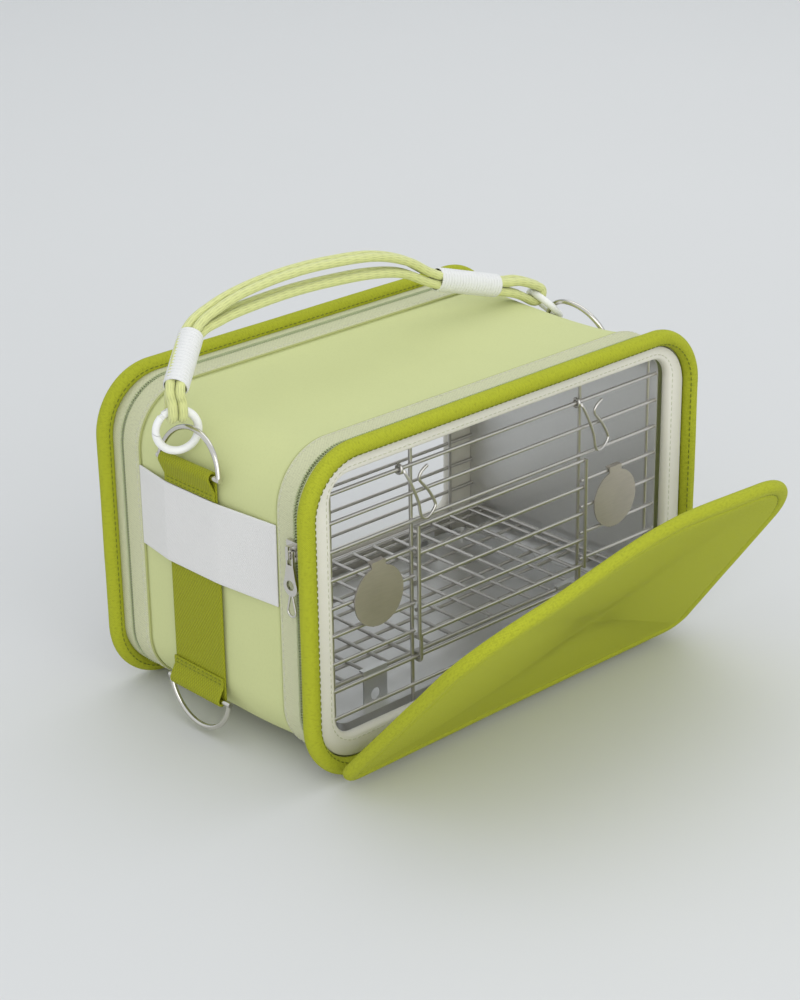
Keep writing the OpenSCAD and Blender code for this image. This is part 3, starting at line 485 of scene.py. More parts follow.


# deep sets the painted shade in the hollows of the braid.
rope_cord = braid("rope_braid", (0.67, 0.70, 0.29), 0.00151, 0.00022, lean=0.12, deep=0.80)
white_cord = braid("whipping_cord", (0.74, 0.74, 0.73), 0.0012, 0.00006, lean=1.0, deep=0.95)
print("cord finishes:", rope_cord.name, "and", white_cord.name)


# %% [markdown]
# Steel is a mirror with scratches too fine to see. Noise stretched along one
# axis gives the brushing of the sheet; for the wires a little uneven roughness
# is enough. Plated rings are smoother and slightly warm, with wear that dulls
# patches. All of it reads Object coordinates, so it stays on the metal.

# %% Metal
def metal(name, colour, rough, grain, relief, spread=0.12, aniso=0.0, part=1.0, dark=0.9):
    """Metal whose roughness and height follow stretched noise; grain is the
    noise scale along X, Y and Z, part how metallic it is and dark its low tone."""
    mat, t, bsdf = new_material(name)
    co = t.nodes.new("ShaderNodeTexCoord")
    mp = t.nodes.new("ShaderNodeMapping")
    mp.inputs["Scale"].default_value = grain
    t.links.new(co.outputs["Object"], mp.inputs["Vector"])
    fine = noise(t, mp.outputs[0], 1.0, 4, 0.6)
    slow = noise(t, co.outputs["Object"], 60, 3)
    both = math_node(t, "MULTIPLY_ADD", slow, 0.5, math_node(t, "MULTIPLY", fine, 0.5))
    t.links.new(math_node(t, "MULTIPLY_ADD", both, spread, rough - spread / 2), bsdf.inputs["Roughness"])
    tint = mix_colour(t, both, tuple(c * dark for c in colour), colour)
    t.links.new(tint, bsdf.inputs["Base Color"])
    bsdf.inputs["Metallic"].default_value = part
    bsdf.inputs["Anisotropic"].default_value = aniso
    bump(t, bsdf, fine, relief)
    return mat


wire_steel = metal("wire_steel", (0.62, 0.60, 0.57), 0.30, (300, 300, 300), 0.00001, part=0.8)
sheet_steel = metal("sheet_steel", (0.80, 0.80, 0.79), 0.36, (40, 900, 900), 0.000012, 0.16, 0.4, 0.8)
disc_steel = metal("disc_steel", (0.62, 0.57, 0.51), 0.50, (150, 60, 2600), 0.00006, 0.3, 0.3, 0.55, 0.55)
nickel = metal("nickel", (0.68, 0.66, 0.61), 0.20, (500, 500, 500), 0.00001, 0.16)
print("metals:", wire_steel.name, sheet_steel.name, disc_steel.name, nickel.name)


# %% [markdown]
# The rings that carry the rope are moulded plastic: nearly white, with a soft
# gloss that fine noise breaks up. The floor is matt, and painted shade makes
# it darker and cooler with height, so that floor and wall part softly.

# %% Plastic and floor
def moulded_plastic():
    """White plastic whose tone and roughness follow noise."""
    mat, t, bsdf = new_material("white_plastic")
    co = t.nodes.new("ShaderNodeTexCoord")
    grain = noise(t, co.outputs["Object"], 900, 3)
    tone = mix_colour(t, noise(t, co.outputs["Object"], 90, 3), (0.80, 0.80, 0.79), (0.86, 0.86, 0.85))
    t.links.new(tone, bsdf.inputs["Base Color"])
    t.links.new(math_node(t, "MULTIPLY_ADD", grain, 0.15, 0.30), bsdf.inputs["Roughness"])
    bump(t, bsdf, grain, 0.00003)
    return mat


def sweep_paint():
    """Matt floor, grey near the floor; painted shade makes it darker and cooler over the first metre upwards.
    """
    mat, t, bsdf = new_material("floor_paint")
    co = t.nodes.new("ShaderNodeTexCoord")
    part = t.nodes.new("ShaderNodeSeparateXYZ")
    t.links.new(co.outputs["Object"], part.inputs[0])
    # Painted shade: the wall is darker and bluer than the floor, standing in for the light that falls on it.
    painted_wall_shade = math_node(t, "SMOOTH_MIN", math_node(t, "MULTIPLY", part.outputs[2], 0.8), 1.0, 0.2)
    near = mix_colour(t, noise(t, co.outputs["Object"], 1.5, 2), (0.655, 0.657, 0.657), (0.675, 0.677, 0.677))
    t.links.new(mix_colour(t, painted_wall_shade, near, (0.545, 0.58, 0.605)), bsdf.inputs["Base Color"])
    bsdf.inputs["Roughness"].default_value = 0.75
    bsdf.inputs["Specular IOR Level"].default_value = 0.2
    return mat


white_plastic = moulded_plastic()
bpy.data.objects["studio_sweep"].data.materials.append(sweep_paint())
print("finishes in all:", len(bpy.data.materials))


# %% [markdown]
# The rigid pieces keep their own meshes and only get a finish, chosen by the
# words in their names.

# %% Dress the metal and plastic pieces
def dress(obj, mat):
    """One material over the whole piece."""
    obj.data.materials.clear()
    obj.data.materials.append(mat)
    return obj


def named(*words):
    """Names of the nodes that hold one of the words."""
    return [name for name in node if any(word in name for word in words)]


finishes = (
    (wire_steel, named("grille", "cage_door", "floor_grating", "door_clip")),
    (sheet_steel, named("cage_sleeve", "grating_legs", "floor_tray")),
    (disc_steel, named("disc")),
    (nickel, named("zip_slider", "zip_pull", "d_ring")),
    (white_plastic, named("carry_ring", "ring_gate")))
for finish, names in finishes:
    for name in names:
        dress(node[name], finish)
    print(finish.name, "on", len(names), "pieces")


# %% [markdown]
# ## Stitches
#
# A lockstitch shows as a row of short raised dashes with small gaps. Each dash
# here is a thin spindle along the seam: a few rings of points whose radius
# swells and closes again. All the dashes of a seam are worked out at once and
# go into one mesh.

# %% Row of stitches
def stitches(name, P, N, mat, body, dash=2.3, gap=0.9, radius=0.3, closed=True):
    """Spindles along a line of points P in mm with surface normals N. Each ring
    of a dash lies at a share of its length, and its radius rises and falls."""
    Q = np.concatenate([P, P[:1]]) if closed else P
    M = np.concatenate([N, N[:1]]) if closed else N
    s = lengths(Q, 0)
    count = int(s[-1] // (dash + gap))
    start = np.arange(count) * s[-1] / count
    share = np.array([0.0, 0.12, 0.5, 0.88, 1.0])
    fat = np.array([0.05, 0.75, 1.0, 0.75, 0.05]) * radius
    at = start[:, None] + share * dash
    C = sample(at, s, Q)
    U = unit(sample(at, s, M))
    T = unit(C[:, -1:] - C[:, :1]) * np.ones_like(C)
    W = unit(np.cross(T, U))
    a = np.radians(np.arange(0, 360, 60))
    ring = (np.cos(a)[:, None] * W[..., None, :] + np.sin(a)[:, None] * U[..., None, :])
    V = C[..., None, :] + fat[:, None, None] * ring
    k, r, c = V.shape[:3]
    base = np.arange(k)[:, None, None] * r * c
    i, j = np.meshgrid(np.arange(r - 1), np.arange(c), indexing="ij")
    quad = np.stack([i * c + j, (i + 1) * c + j, (i + 1) * c + (j + 1) % c, i * c + (j + 1) % c], -1)
    faces = (base[..., None] + quad[None]).reshape(-1, 4)
    ends = np.concatenate([base[:, 0] + np.arange(c), base[:, 0] + (r - 1) * c + np.arange(c)[::-1]])
    mesh = bpy.data.meshes.new(name)
    mesh.from_pydata((V.reshape(-1, 3) * MM).tolist(), [], faces.tolist() + ends.tolist())
    layer = mesh.uv_layers.new(name="cloth")
    co = V.reshape(-1, 3)[np.concatenate([faces.ravel(), ends.ravel()])]
    layer.data.foreach_set("uv", (co[:, [0, 2]] * MM).ravel())
    mesh.polygons.foreach_set("use_smooth", [True] * len(mesh.polygons))
    obj = bpy.data.objects.new(name, mesh)
    bpy.context.scene.collection.objects.link(obj)
    outward(dress(obj, mat))
    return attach(obj, body)


# %% [markdown]
# ## Padded rims
#
# Each end of the carrier has a padded roll sewn round it. It is a tube of
# cloth filled with foam: the cross-section is a circle that puckers a little
# towards the inside, where it is sewn. Its own weight presses it flat
# underneath. It is one surface: the angle round the tube by the place along
# the rounded rectangle.

# %% Rims
def rim_surface(y, front):
    """Tube round a rounded rectangle: centre plus normal times cos and depth
    times sin, with a small pucker on the inner side and z cut off at 0."""
    P2, N2, total = rounded(RIM_HW, RIM_LO, RIM_HI, RIM_R, n=720)
    a = np.radians(np.arange(0, 360, 12))
    s = np.arange(720) * total / 720
    pucker = 0.10 * np.cos(2 * np.pi * s / 3.2)[:, None] * np.clip(-np.cos(a), 0, 1)[None]
    centre = lift(P2, y)
    r = ROLL - 0.12 + pucker + np.minimum(swell(centre, 0.12, 70, seed=3), 0.12)[:, None]
    P = round_section(centre, lift(N2, 0.0), [0, front, 0.0], r[..., None], a)
    P[..., 2] = np.maximum(P[..., 2], 0.02)
    return P


def rim_stitch_line(y, front, turn):
    """Line on the roll at an angle from its front towards the inside."""
    P2, N2, _ = rounded(RIM_HW, RIM_LO, RIM_HI, RIM_R, n=720)
    t = np.radians(turn)
    n = -lift(N2, 0.0) * np.sin(t) + np.array([0, front, 0.0]) * np.cos(t)
    return lift(P2, y) + n * (ROLL + 0.02), n


front_roll = outward(dress(grid_mesh("front_rim_roll", rim_surface(-RIM_Y, -1), wrap_rows=True), lime))
back_roll = outward(dress(grid_mesh("back_rim_roll", rim_surface(RIM_Y, 1), wrap_rows=True), lime))
for obj, body, cad in ((front_roll, "front_panel", "front_rim"), (back_roll, "back_panel", "back_rim")):
    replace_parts(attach(obj, body), cad)
for name, y, f, body in (("front", -RIM_Y, -1, "front_panel"), ("back", RIM_Y, 1, "back_panel")):
    for seam, turn in (("_rim_stitches", 38), ("_rim_back_stitches", 184)):
        P, N = rim_stitch_line(y, f, turn)
        stitches(name + seam, P, N, thread_lime, body, radius=0.34)
print("rims:", len(front_roll.data.vertices), "points each")


# %% [markdown]
# ## Window frames
#
# A frame is a sheet of thin foam with cloth over it and one big opening. Seen
# in section it is a flat bar with rounded edges, so the surface is that
# section carried round: at each place the section runs between a point on the
# outer loop and the matching point on the inner loop.

# %% Frames
HOLE_EDGE, RIM_EDGE, FRAME_SEAM = 2.6, 0.6, 3.2


def frame_surface(hole, y0, y1):
    """Section points go round the edge at the hole and then round the edge at
    the rim. The share across is 0 at the hole and 1 at the rim, and one minus
    the cosine eases it, so that both edges round off."""
    outer, _, _ = rounded(FRAME_HW, FRAME_LO, FRAME_HI, FRAME_R, n=480)
    inner, _, _ = rounded(*hole, n=480)
    wide = np.linalg.norm(outer - inner, axis=1, keepdims=True)
    turn = np.radians(np.linspace(-90, 90, 9))
    back = turn[::-1]
    near_hole = HOLE_EDGE * (1 - np.cos(turn)) / wide
    near_rim = 1 - RIM_EDGE * (1 - np.cos(back)) / wide
    share = np.concatenate([near_hole, near_rim], 1)
    depth = (y0 + y1) / 2 + np.sin(np.concatenate([turn, back])) * abs(y1 - y0) / 2
    return lift(inner[:, None] + (outer - inner)[:, None] * share[..., None], depth)


front_hole, back_hole = (119.0, 21.0, 159.5, 13.0), (100.0, 32.0, 145.0, 10.0)
for name, hole, f, body in (("front", front_hole, -1, "front_panel"), ("back", back_hole, 1, "back_panel")):
    P = frame_surface(hole, f * FRAME_Y0, f * FRAME_Y1)
    obj = outward(dress(grid_mesh(name + "_frame_pad", P, wrap_rows=True), cream))
    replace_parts(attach(obj, body), name + "_window_frame")
    hw, lo, hi, r = hole
    P2, _, _ = rounded(hw + FRAME_SEAM, lo - FRAME_SEAM, hi + FRAME_SEAM, r + FRAME_SEAM, n=600)
    P = lift(P2, f * (FRAME_Y1 + 0.02))
    seam = stitches(name + "_frame_stitches", P, np.zeros_like(P) + np.array([0, f, 0.0]), thread_pale, body)
    print(name, "window opening:", 2 * hw, "by", hi - lo, "mm")


# %% [markdown]
# ## Padded body
#
# The body is a sleeve of foam-backed cloth: its sides bulge a little and its
# top sags between the two seams. The outer surface is a rounded rectangle
# whose size changes smoothly along the depth; past the seams it steps in to
# the thinner lining behind the zips. The inner wall closes it.

# %% Body
SIDE_BULGE, TOP_SAG, SEAM_ROUND = 2.5, 4.0, 0.8
STEP_IN = {"edge": 0.25, "groove": 0.5, "skin": 0.08}


def body_surface(n=640):
    """Rows along a closed profile: out along the outside, in at the end, back
    along the cavity. The bulge and the sag follow one minus a square."""
    steps = [(-LINING_Y, "edge"), (-SEAM_Y - 0.6, "edge"), (-SEAM_Y - 0.1, "groove")]
    steps += [(y, "skin") for y in np.linspace(-SEAM_Y, SEAM_Y, 61)]
    steps += [(SEAM_Y + 0.1, "groove"), (SEAM_Y + 0.6, "edge"), (LINING_Y, "edge")]
    rows = []
    for y, kind in steps:
        w = max(0.0, 1 - (y / SEAM_Y) ** 2)
        near = np.clip((SEAM_Y - abs(y)) / 2.2, 0, 1) if kind == "skin" else 1
        d = STEP_IN[kind] + SEAM_ROUND * (1 - np.sqrt(1 - (1 - near) ** 2))
        top = BODY_HI - TOP_SAG * w - d
        P2, N2, _ = rounded(BODY_HW + SIDE_BULGE * w - d, BODY_LO + d, top, BODY_R - d, n=n)
        P = lift(P2, y)
        if kind == "skin":
            dip = np.minimum(swell(P, 0.35, 120, seed=5) - 0.35, 0) * min(1, w * 3)
            fold = np.abs(np.sin(P[:, 0] / 19 + P[:, 2] / 27 + y / 31)) ** 6
            P[:, [0, 2]] += N2 * (dip - 0.25 * np.clip(w * 3, 0, 1) * fold)[:, None]
        rows.append(P)
    inner, _, _ = rounded(CAVITY_HW, CAVITY_LO, CAVITY_HI, CAVITY_R, n=n)
    rows += [lift(inner, y) for y in (LINING_Y, 0.0, -LINING_Y)]
    return np.stack(rows)


body = outward(dress(grid_mesh("padded_body", body_surface(), wrap_rows=True), pale))
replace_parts(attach(body, "carrier"), "body_shell")
print("body:", len(body.data.vertices), "points")


# %% [markdown]
# ## Zips
#
# A nylon zip is two woven tapes with a coil along each edge: a thread of nylon
# wound like a spring. The tape is a thin band round the carrier. The coil is a
# real helix: a circle turned round the seam line as it runs along, itself the
# path of a thinner tube.

# %% Tapes and coils
# Depths of the tapes' edges and of the coils, the same at the front and back
TAPE_Y = {"body": (53.45, 65.75), "panel": (67.85, 75.0)}
COIL_Y = {"body": 65.9, "panel": 67.7}
TAPE_IN, TAPE_OUT, COIL_OUT, TAPE_SEAM_Y = -0.08, 1.08, 0.9, 55.2


def body_loop(out, n):
    """The body's outline moved outwards by a distance."""
    return rounded(BODY_HW + out, BODY_LO - out, BODY_HI + out, BODY_R + out, n=n)


def tape_surface(y0, y1, out0, out1):
    """Thin band with rounded edges between two depths and two heights."""
    mid, half = (y0 + y1) / 2, (y1 - y0) / 2
    h, c = (out1 - out0) / 2, (out0 + out1) / 2
    t = np.radians(np.linspace(-90, 90, 7))
    sec = [(mid + half - h + h * np.cos(a), c + h * np.sin(a)) for a in t]
    sec += [(mid - half + h - h * np.cos(a), c - h * np.sin(a)) for a in t]
    return np.stack([lift(body_loop(out, 480)[0], y) for y, out in sec], 1)


def coil_surface(y, out, pitch=1.5, turn_r=0.5, tube=0.24, steps=9):
    """Helix round the seam line: line + turn_r (cos, sin), then a ring of
    radius tube square to the helix at every step."""
    n = int(body_loop(out, 8)[2] / pitch) * steps
    P2, N2, _ = body_loop(out, n)
    a = 2 * np.pi * np.arange(n) / steps
    side, deep = lift(N2, 0.0), np.array([0, 1.0, 0])
    C = lift(P2, y) + turn_r * (np.cos(a)[:, None] * side + np.sin(a)[:, None] * deep)
    T = unit(np.roll(C, -1, 0) - np.roll(C, 1, 0))
    U = unit(side - np.sum(side * T, 1, keepdims=True) * T)
    return round_section(C, U, np.cross(T, U), tube, np.radians(np.arange(0, 360, 90)))


for part in ("body", "panel"):
    for end, s in (("front", -1), ("back", 1)):
        ride_on = "carrier" if part == "body" else end + "_panel"
        y0, y1 = sorted(s * y for y in TAPE_Y[part])
        P = tape_surface(y0, y1, TAPE_IN, TAPE_OUT)
        band = outward(dress(grid_mesh(f"{end}_{part}_zip_tape", P, wrap_rows=True), tape))
        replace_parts(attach(band, ride_on), f"{end}_{part}_tape")
        P = coil_surface(s * COIL_Y[part], COIL_OUT)
        spring = outward(dress(grid_mesh(f"{end}_{part}_zip_coil", P, wrap_rows=True), coil))
        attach(spring, ride_on)
for end, s in (("front", -1), ("back", 1)):
    P2, N2, _ = body_loop(TAPE_OUT + 0.04, 600)
    seam = stitches(end + "_tape_stitches", lift(P2, s * TAPE_SEAM_Y), lift(N2, 0.0), thread_pale, "carrier")
print("each coil:", len(spring.data.vertices), "points")


# %% [markdown]
# Between the body and the tapes runs a piping: a cord sewn into the seam. It
# is a plain tube on the seam's line, half sunk into the groove.

# %% Piping
PIPING_Y, PIPING_OUT, PIPING_R = 53.2, 0.25, 0.6
a = 2 * np.pi * np.arange(10) / 10
for end, s in (("front", -1), ("back", 1)):
    P2, N2, _ = body_loop(PIPING_OUT, 600)
    P = round_section(lift(P2, s * PIPING_Y), lift(N2, 0.0), [0, 1.0, 0], PIPING_R, a)
    obj = outward(dress(grid_mesh(end + "_piping", P, wrap_rows=True), piping_cloth))
    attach(obj, "carrier")
print("piping:", 2 * PIPING_R, "mm thick")


# %% [markdown]
# ## Front flap
#
# The flap is a flat pad with a rolled edge and a line of stitches inside the
# roll, which pulls a groove. Going inwards from the edge, its half thickness
# is a quarter circle, then the groove, then a slight crown. The surface is a
# stack of loops, each the outline moved in by a distance, on the front and
# then on the back. It is worked out closed and upright, then turned open.

# %% Flap
# Distances from the flap's edge to its seam and to where the crown starts
FLAP_SEAM, CROWN = 7.4, 13.2
# As it hangs: the left end's twist in degrees, the right end drawn in, by mm and by share
TWIST, DRAWN_IN, SHORTER = 6.0, 9.0, 0.045


def flap_half(d):
    """Half thickness at distance d from the edge: the roll, the groove of the
    stitching and the crown."""
    r = FLAP_T / 2
    rolled = np.sqrt(np.maximum(r * r - np.maximum(r - d, 0) ** 2, 0))
    groove = 0.75 * np.exp(-(((d - FLAP_SEAM) / 0.9) ** 2))
    flat = np.clip((d - r) / 4, 0, 1) * 0.35
    return rolled - groove - flat


def flap_loop(d, n):
    """The flap's outline moved inwards by a distance."""
    return rounded(FLAP_HW - d, FLAP_LO + d, FLAP_HI - d, FLAP_R - d, FLAP_R_LO - d, n=n)[0]


def flap_surface(n=520):
    """Loops from the middle of the front, out to the edge, and back."""
    r = FLAP_T / 2
    roll = r * (1 - np.cos(np.radians(np.linspace(0, 90, 10))))
    inside = [4.2, 5.2, 6.0, 6.6, 7.0, FLAP_SEAM, 7.8, 8.2, 8.9, 10.0, 11.5, CROWN]
    rings = [(flap_loop(d, n), flap_half(np.full(n, d))) for d in (*roll, *inside)]
    middle = np.array([0.0, (FLAP_LO + FLAP_HI) / 2])
    last = rings[-1][0]
    for k in np.linspace(0.93, 0.0, 22):
        crown = flap_half(np.full(n, CROWN)) + 0.25 * (1 - k**2)
        rings.append((middle + (last - middle) * max(k, 1e-5), crown))
    top, bottom = [], []
    for P2, h in rings:
        P = lift(P2, 0.0)
        wave = swell(P, 0.16, 110, seed=11) * np.clip(h / r, 0, 1)
        top.append(lift(P2, -h + np.maximum(wave, -0.05)))
        bottom.append(lift(P2, h + np.minimum(wave, 0.05)))
    return np.stack(top[::-1] + bottom[1:])


def open_flap(P):
    """Turn points from the closed flap about its hinge line by its rest angle.
    Cloth twists: the left end has dropped further, and the right end is drawn
    in a little. Both grow along the flap as three squares less two cubes."""
    left = np.clip((30 - P[..., 0]) / 160, 0, 1)
    right = np.clip((P[..., 0] - 10) / 120, 0, 1)
    left, right = left * left * (3 - 2 * left), right * right * (3 - 2 * right)
    a = np.radians(FLAP_OPEN + TWIST * left)
    x, z = P[..., 0] - DRAWN_IN * right, P[..., 2] * (1 - SHORTER * right)
    y = P[..., 1] - FLAP_LO - FLAP_T / 2
    return np.stack([x, HINGE_Y + y * np.cos(a) - z * np.sin(a), HINGE_Z + y * np.sin(a) + z * np.cos(a)], -1)


flap = outward(dress(grid_mesh("flap_pad", open_flap(flap_surface())), lime))
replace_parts(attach(flap, "flap"), "front_flap")
seam_loop = flap_loop(FLAP_SEAM, 700)
groove = float(flap_half(np.array([FLAP_SEAM]))[0])
turned = open_flap(np.array([[0, -1.0, 0], [0, 0.0, 0]]))
up = turned[0] - turned[1]
for name, s in (("flap_front_stitches", -1), ("flap_inner_stitches", 1)):
    P = open_flap(lift(seam_loop, s * (groove + 0.05)))
    stitches(name, P, np.zeros_like(P) - s * up, thread_lime, "flap")
print("flap:", len(flap.data.vertices), "points")


# %% [markdown]
# A strip of the same cloth joins the flap to the rim and is what it folds on.
# It crosses the hinge line: its lower end lies at the front panel and its
# upper end on the flap, as the flap rests.

# %% Hinge strip
def strip_surface(path, half_width, thick, n_across=60):
    """Thin strip: a smooth line in the YZ plane given a thickness along its
    normal, carried along X, with both ends closed by narrowing."""
    path = np.array(path, float)
    s = lengths(path, 0)
    L = sample(np.linspace(0, s[-1], 16), s, path)
    for _ in range(3):
        L[1:-1] = (L[:-2] + 2 * L[1:-1] + L[2:]) / 4
    T = unit(np.gradient(L, axis=0))
    Nn = np.stack([-T[:, 1], T[:, 0]], 1)
    h = thick / 2 * np.sqrt(np.clip(1 - np.linspace(-1, 1, 16) ** 8, 0.05, 1))[:, None]
    sec = np.concatenate([L + Nn * h, (L - Nn * h)[::-1]])
    x = half_width * np.sin(np.radians(np.linspace(-90, 90, n_across)))
    P = np.zeros((n_across, len(sec), 3))
    P[..., 0] = x[:, None]
    P[..., 1], P[..., 2] = sec[None, :, 0], sec[None, :, 1]
    return P


# The strip's end on the flap: this far up the flap and out from its middle plane
FOOT_UP, FOOT_OUT = 2.4, 1.2
a = np.radians(FLAP_OPEN)
foot_y = HINGE_Y - FOOT_UP * np.sin(a) - FOOT_OUT * np.cos(a)
foot_z = HINGE_Z + FOOT_UP * np.cos(a) - FOOT_OUT * np.sin(a)
strip_path = [(-81.2, 3.4), (-82.4, 5.6), (HINGE_Y - 0.5, HINGE_Z - 0.3), (foot_y, foot_z)]
strip = outward(dress(grid_mesh("flap_hinge_strip", strip_surface(strip_path, 106, 0.9), caps=True), lime))
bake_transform(strip)
print("hinge strip:", round(float(lengths(np.array(strip_path), 0)[-1]), 1), "mm from rim to flap")


# %% [markdown]
# ## Straps and bands
#
# Each side strap is one length of webbing. It passes up behind the upper
# D-ring's bar, folds over it and comes down in front of itself, and does the
# same at the lower ring. So its path is two half circles joined by straight
# runs, and the webbing's flat section is carried along that path.

# %% Webbing
STRAP_Y, STRAP_W, STRAP_T = 7.5, 39.0, 1.36
BAND_Z, BAND_W, BAND_T, BAND_END = 111.5, 43.0, 1.06, 52.7
# How far out the strap's inner run, its tails and its stitches lie, and its turn's radius
RUN_X, TAIL_X, STITCH_X, TURN_R = 135.5, 136.95, 137.68, 2.4


def webbing_surface(path, centre, width, thick, along_axis, n_across=26):
    """Flat section with round edges carried along a path in a plane. path is
    (p, q) in mm, along_axis places (p, q, across) as x, y, z."""
    T = unit(np.gradient(path, axis=0))
    Nn = np.stack([T[:, 1], -T[:, 0]], 1)
    w, h = width / 2, thick / 2
    flat = np.linspace(-1, 1, n_across) * (w - h)
    t = np.radians(np.linspace(90, -90, 7))
    sec = [(c, h) for c in flat] + [(w - h + h * np.cos(k), h * np.sin(k)) for k in t[1:-1]]
    sec += [(c, -h) for c in flat[::-1]] + [(-w + h - h * np.cos(k), -h * np.sin(k)) for k in t[1:-1]]
    sec = np.array(sec)
    ease = np.ones(len(path))
    ease[[0, -1]] = 0.55
    P2 = path[:, None] + Nn[:, None] * (sec[None, :, 1:] * ease[:, None, None])
    C = centre + sec[None, :, 0] * np.ones((len(path), 1))
    return along_axis(P2[..., 0], P2[..., 1], C)


def straight(x0, x1, z0, z1, n):
    """Straight run of n points from (x0, z0) to (x1, z1)."""
    return np.stack([np.linspace(x0, x1, n), np.linspace(z0, z1, n)], 1)


def strap_path():
    """Upper tail, over the upper bar, down, round the lower bar, lower tail."""
    up = np.radians(np.linspace(0, 180, 22))
    bow = TURN_R * np.stack([np.cos(up), np.sin(up)], 1)
    return np.concatenate([
        straight(TAIL_X, TAIL_X, 133.5, 137.2, 6), straight(TAIL_X, BAR_X + TURN_R, 138, 145.6, 9),
        (BAR_X, BAR_HI) + bow, straight(RUN_X, RUN_X, BAR_HI - 1, BAR_LO + 1, 80), (BAR_X, BAR_LO) - bow,
        straight(BAR_X + TURN_R, TAIL_X, BAR_LO + 0.9, 32.4, 9), straight(TAIL_X, TAIL_X, 33.3, 37, 6)])


for name, s in (("left", -1), ("right", 1)):
    P = webbing_surface(strap_path(), STRAP_Y, STRAP_W, STRAP_T, lambda p, q, c: np.stack([s * p, c, q], -1))
    obj = outward(dress(grid_mesh(name + "_strap_webbing", P, caps=True), webbing))
    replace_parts(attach(obj, "carrier"), name + "_strap")
    for part, rows in (("upper", (134.6, 136.6)), ("lower", (33.9, 36.0))):
        for k, z in enumerate(rows):
            y = np.linspace(STRAP_Y - 18.5, STRAP_Y + 18.5, 60)
            row = np.stack([np.full(60, s * STITCH_X), y, np.full(60, z)], 1)
            N = np.zeros_like(row) + np.array([s, 0, 0.0])
            seam = stitches(f"{name}_{part}_strap_stitches_{k}", row, N, thread_lime, "carrier", closed=False)
print("straps:", round(float(lengths(strap_path(), 0)[-1])), "mm of webbing each")


# %% [markdown]
# Over each strap lies a band of white webbing, sewn into the seams at both
# ends. Its path bows out over the strap, and a moving average with bell-shaped
# weights rounds the bends, as stiff webbing would.

# %% Bands
def band_path():
    """From the seam, out over the strap and back to the other seam, smoothed."""
    y = np.linspace(-BAND_END, BAND_END, 120)
    over = np.interp(y, [-BAND_END, -12.6, 27.6, BAND_END], [132.95, 137.1, 137.1, 132.95])
    kernel = np.hanning(13) / np.hanning(13).sum()
    smooth = np.convolve(np.pad(over, 6, mode="edge"), kernel, "valid")
    return np.stack([np.maximum(smooth, over - 0.05), y], 1)


for name, s in (("left", -1), ("right", 1)):
    P = webbing_surface(band_path(), BAND_Z, BAND_W, BAND_T, lambda p, q, c: np.stack([s * p, q, c], -1))
    obj = outward(dress(grid_mesh(name + "_band_webbing", P, caps=True), elastic))
    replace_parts(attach(obj, "carrier"), name + "_band")
print("bands:", BAND_W, "mm wide")


# %% [markdown]
# ## Rope handle
#
# The handle is two loops of braided rope side by side. Each loop runs over the
# top, round a carry ring and back underneath, and cord whippings bind the four
# strands near each end. The route below lists, row by row, the middle of the
# bundle, the heading of its side direction and half the pitch sideways and
# upwards. A spline through the rows gives the strands.

# %% Route of the handle
ROWS = np.array([
    [-138.6, 12.6, 181.5, -28, 2.5, 3.7], [-138.8, 12, 187, -38, 2.5, 2.5],
    [-114, 30, 203, -54, 2.5, 2.5], [-95, 33, 209, -68, 2.6, 3.6],
    [-73, 34, 212, -80, 2.7, 4.6], [-45, 35, 213, -88, 2.7, 5],
    [-18, 35, 212, -90, 2.7, 5], [10, 35, 209, -92, 2.7, 4.6],
    [34, 36, 202, -94, 2.6, 3.4], [57, 35, 190, -96, 2.5, 2.5],
    [97, 30, 178, -100, 2.5, 2.5], [112, 29, 174, -104, 2.6, 3.7]])
RINGS = {"left": ((-138.5, 13, 164.5), (-115, 0)), "right": ((132.5, 26.7, 160), (-16, 45))}
RING_R, RING_WIRE, ROPE_D = 10.6, 4.0, 4.8
# Points of the spline for each row, rows in a turn round a ring, and how many
# rows before the left ring's turn the loop starts, which is inside the whipping
PER_ROW, TURN_ROWS, START_BACK = 14, 7, 2.4
print("handle spans", ROWS[-1, 0] - ROWS[0, 0], "mm between its ends")


def spline(P, per, closed):
    """Catmull-Rom curve: each piece is a cubic that passes through its two
    middle points with the slope of their neighbours."""
    n = len(P)
    idx = np.arange(n if closed else n - 1)
    get = (lambda k: P[k % n]) if closed else (lambda k: P[np.clip(k, 0, n - 1)])
    a, b, c, d = get(idx - 1), get(idx), get(idx + 1), get(idx + 2)
    t = np.linspace(0, 1, per, endpoint=False)[None, :, None]
    a, b, c, d = (v[:, None] for v in (a, b, c, d))
    out = 0.5 * (2 * b + (c - a) * t + (2 * a - 5 * b + 4 * c - d) * t**2 + (3 * b - a - 3 * c + d) * t**3)
    return out.reshape(-1, P.shape[1])


def strand(side, layer):
    """One strand: the bundle's middle plus a step sideways and a step up. The
    last three columns are the bundle's side direction."""
    T = unit(np.gradient(ROWS[:, :3], axis=0))
    h = np.radians(ROWS[:, 3])
    H = np.stack([np.cos(h), np.sin(h), 0 * h], 1)
    U = unit(H - np.sum(H * T, 1, keepdims=True) * T)
    W = np.cross(U, T)
    return np.concatenate([ROWS[:, :3] + side * ROWS[:, 4:5] * U + layer * ROWS[:, 5:6] * W, H], 1)


def ring_turn(which, side, from_up):
    """Half circle of the rope round a carry ring's wire."""
    at, d = RINGS[which]
    head, tilt = np.radians(d)
    axis = np.array([np.cos(tilt) * np.cos(head), np.cos(tilt) * np.sin(head), np.sin(tilt)])
    top = np.array([-np.sin(tilt) * np.cos(head), -np.sin(tilt) * np.sin(head), np.cos(tilt)])
    across = np.array([np.cos(head + np.pi / 2), np.sin(head + np.pi / 2), 0])
    c = np.array(at) + RING_R * top + side * 2.5 * across
    r = RING_WIRE / 2 + ROPE_D / 2 + 0.25
    a = np.radians(np.linspace(0, 180, TURN_ROWS))[:, None]
    P = c + r * (from_up * np.cos(a) * axis - np.sin(a) * top)
    return np.concatenate([P, across * (1 if which == "left" else -1) + 0 * P], 1)


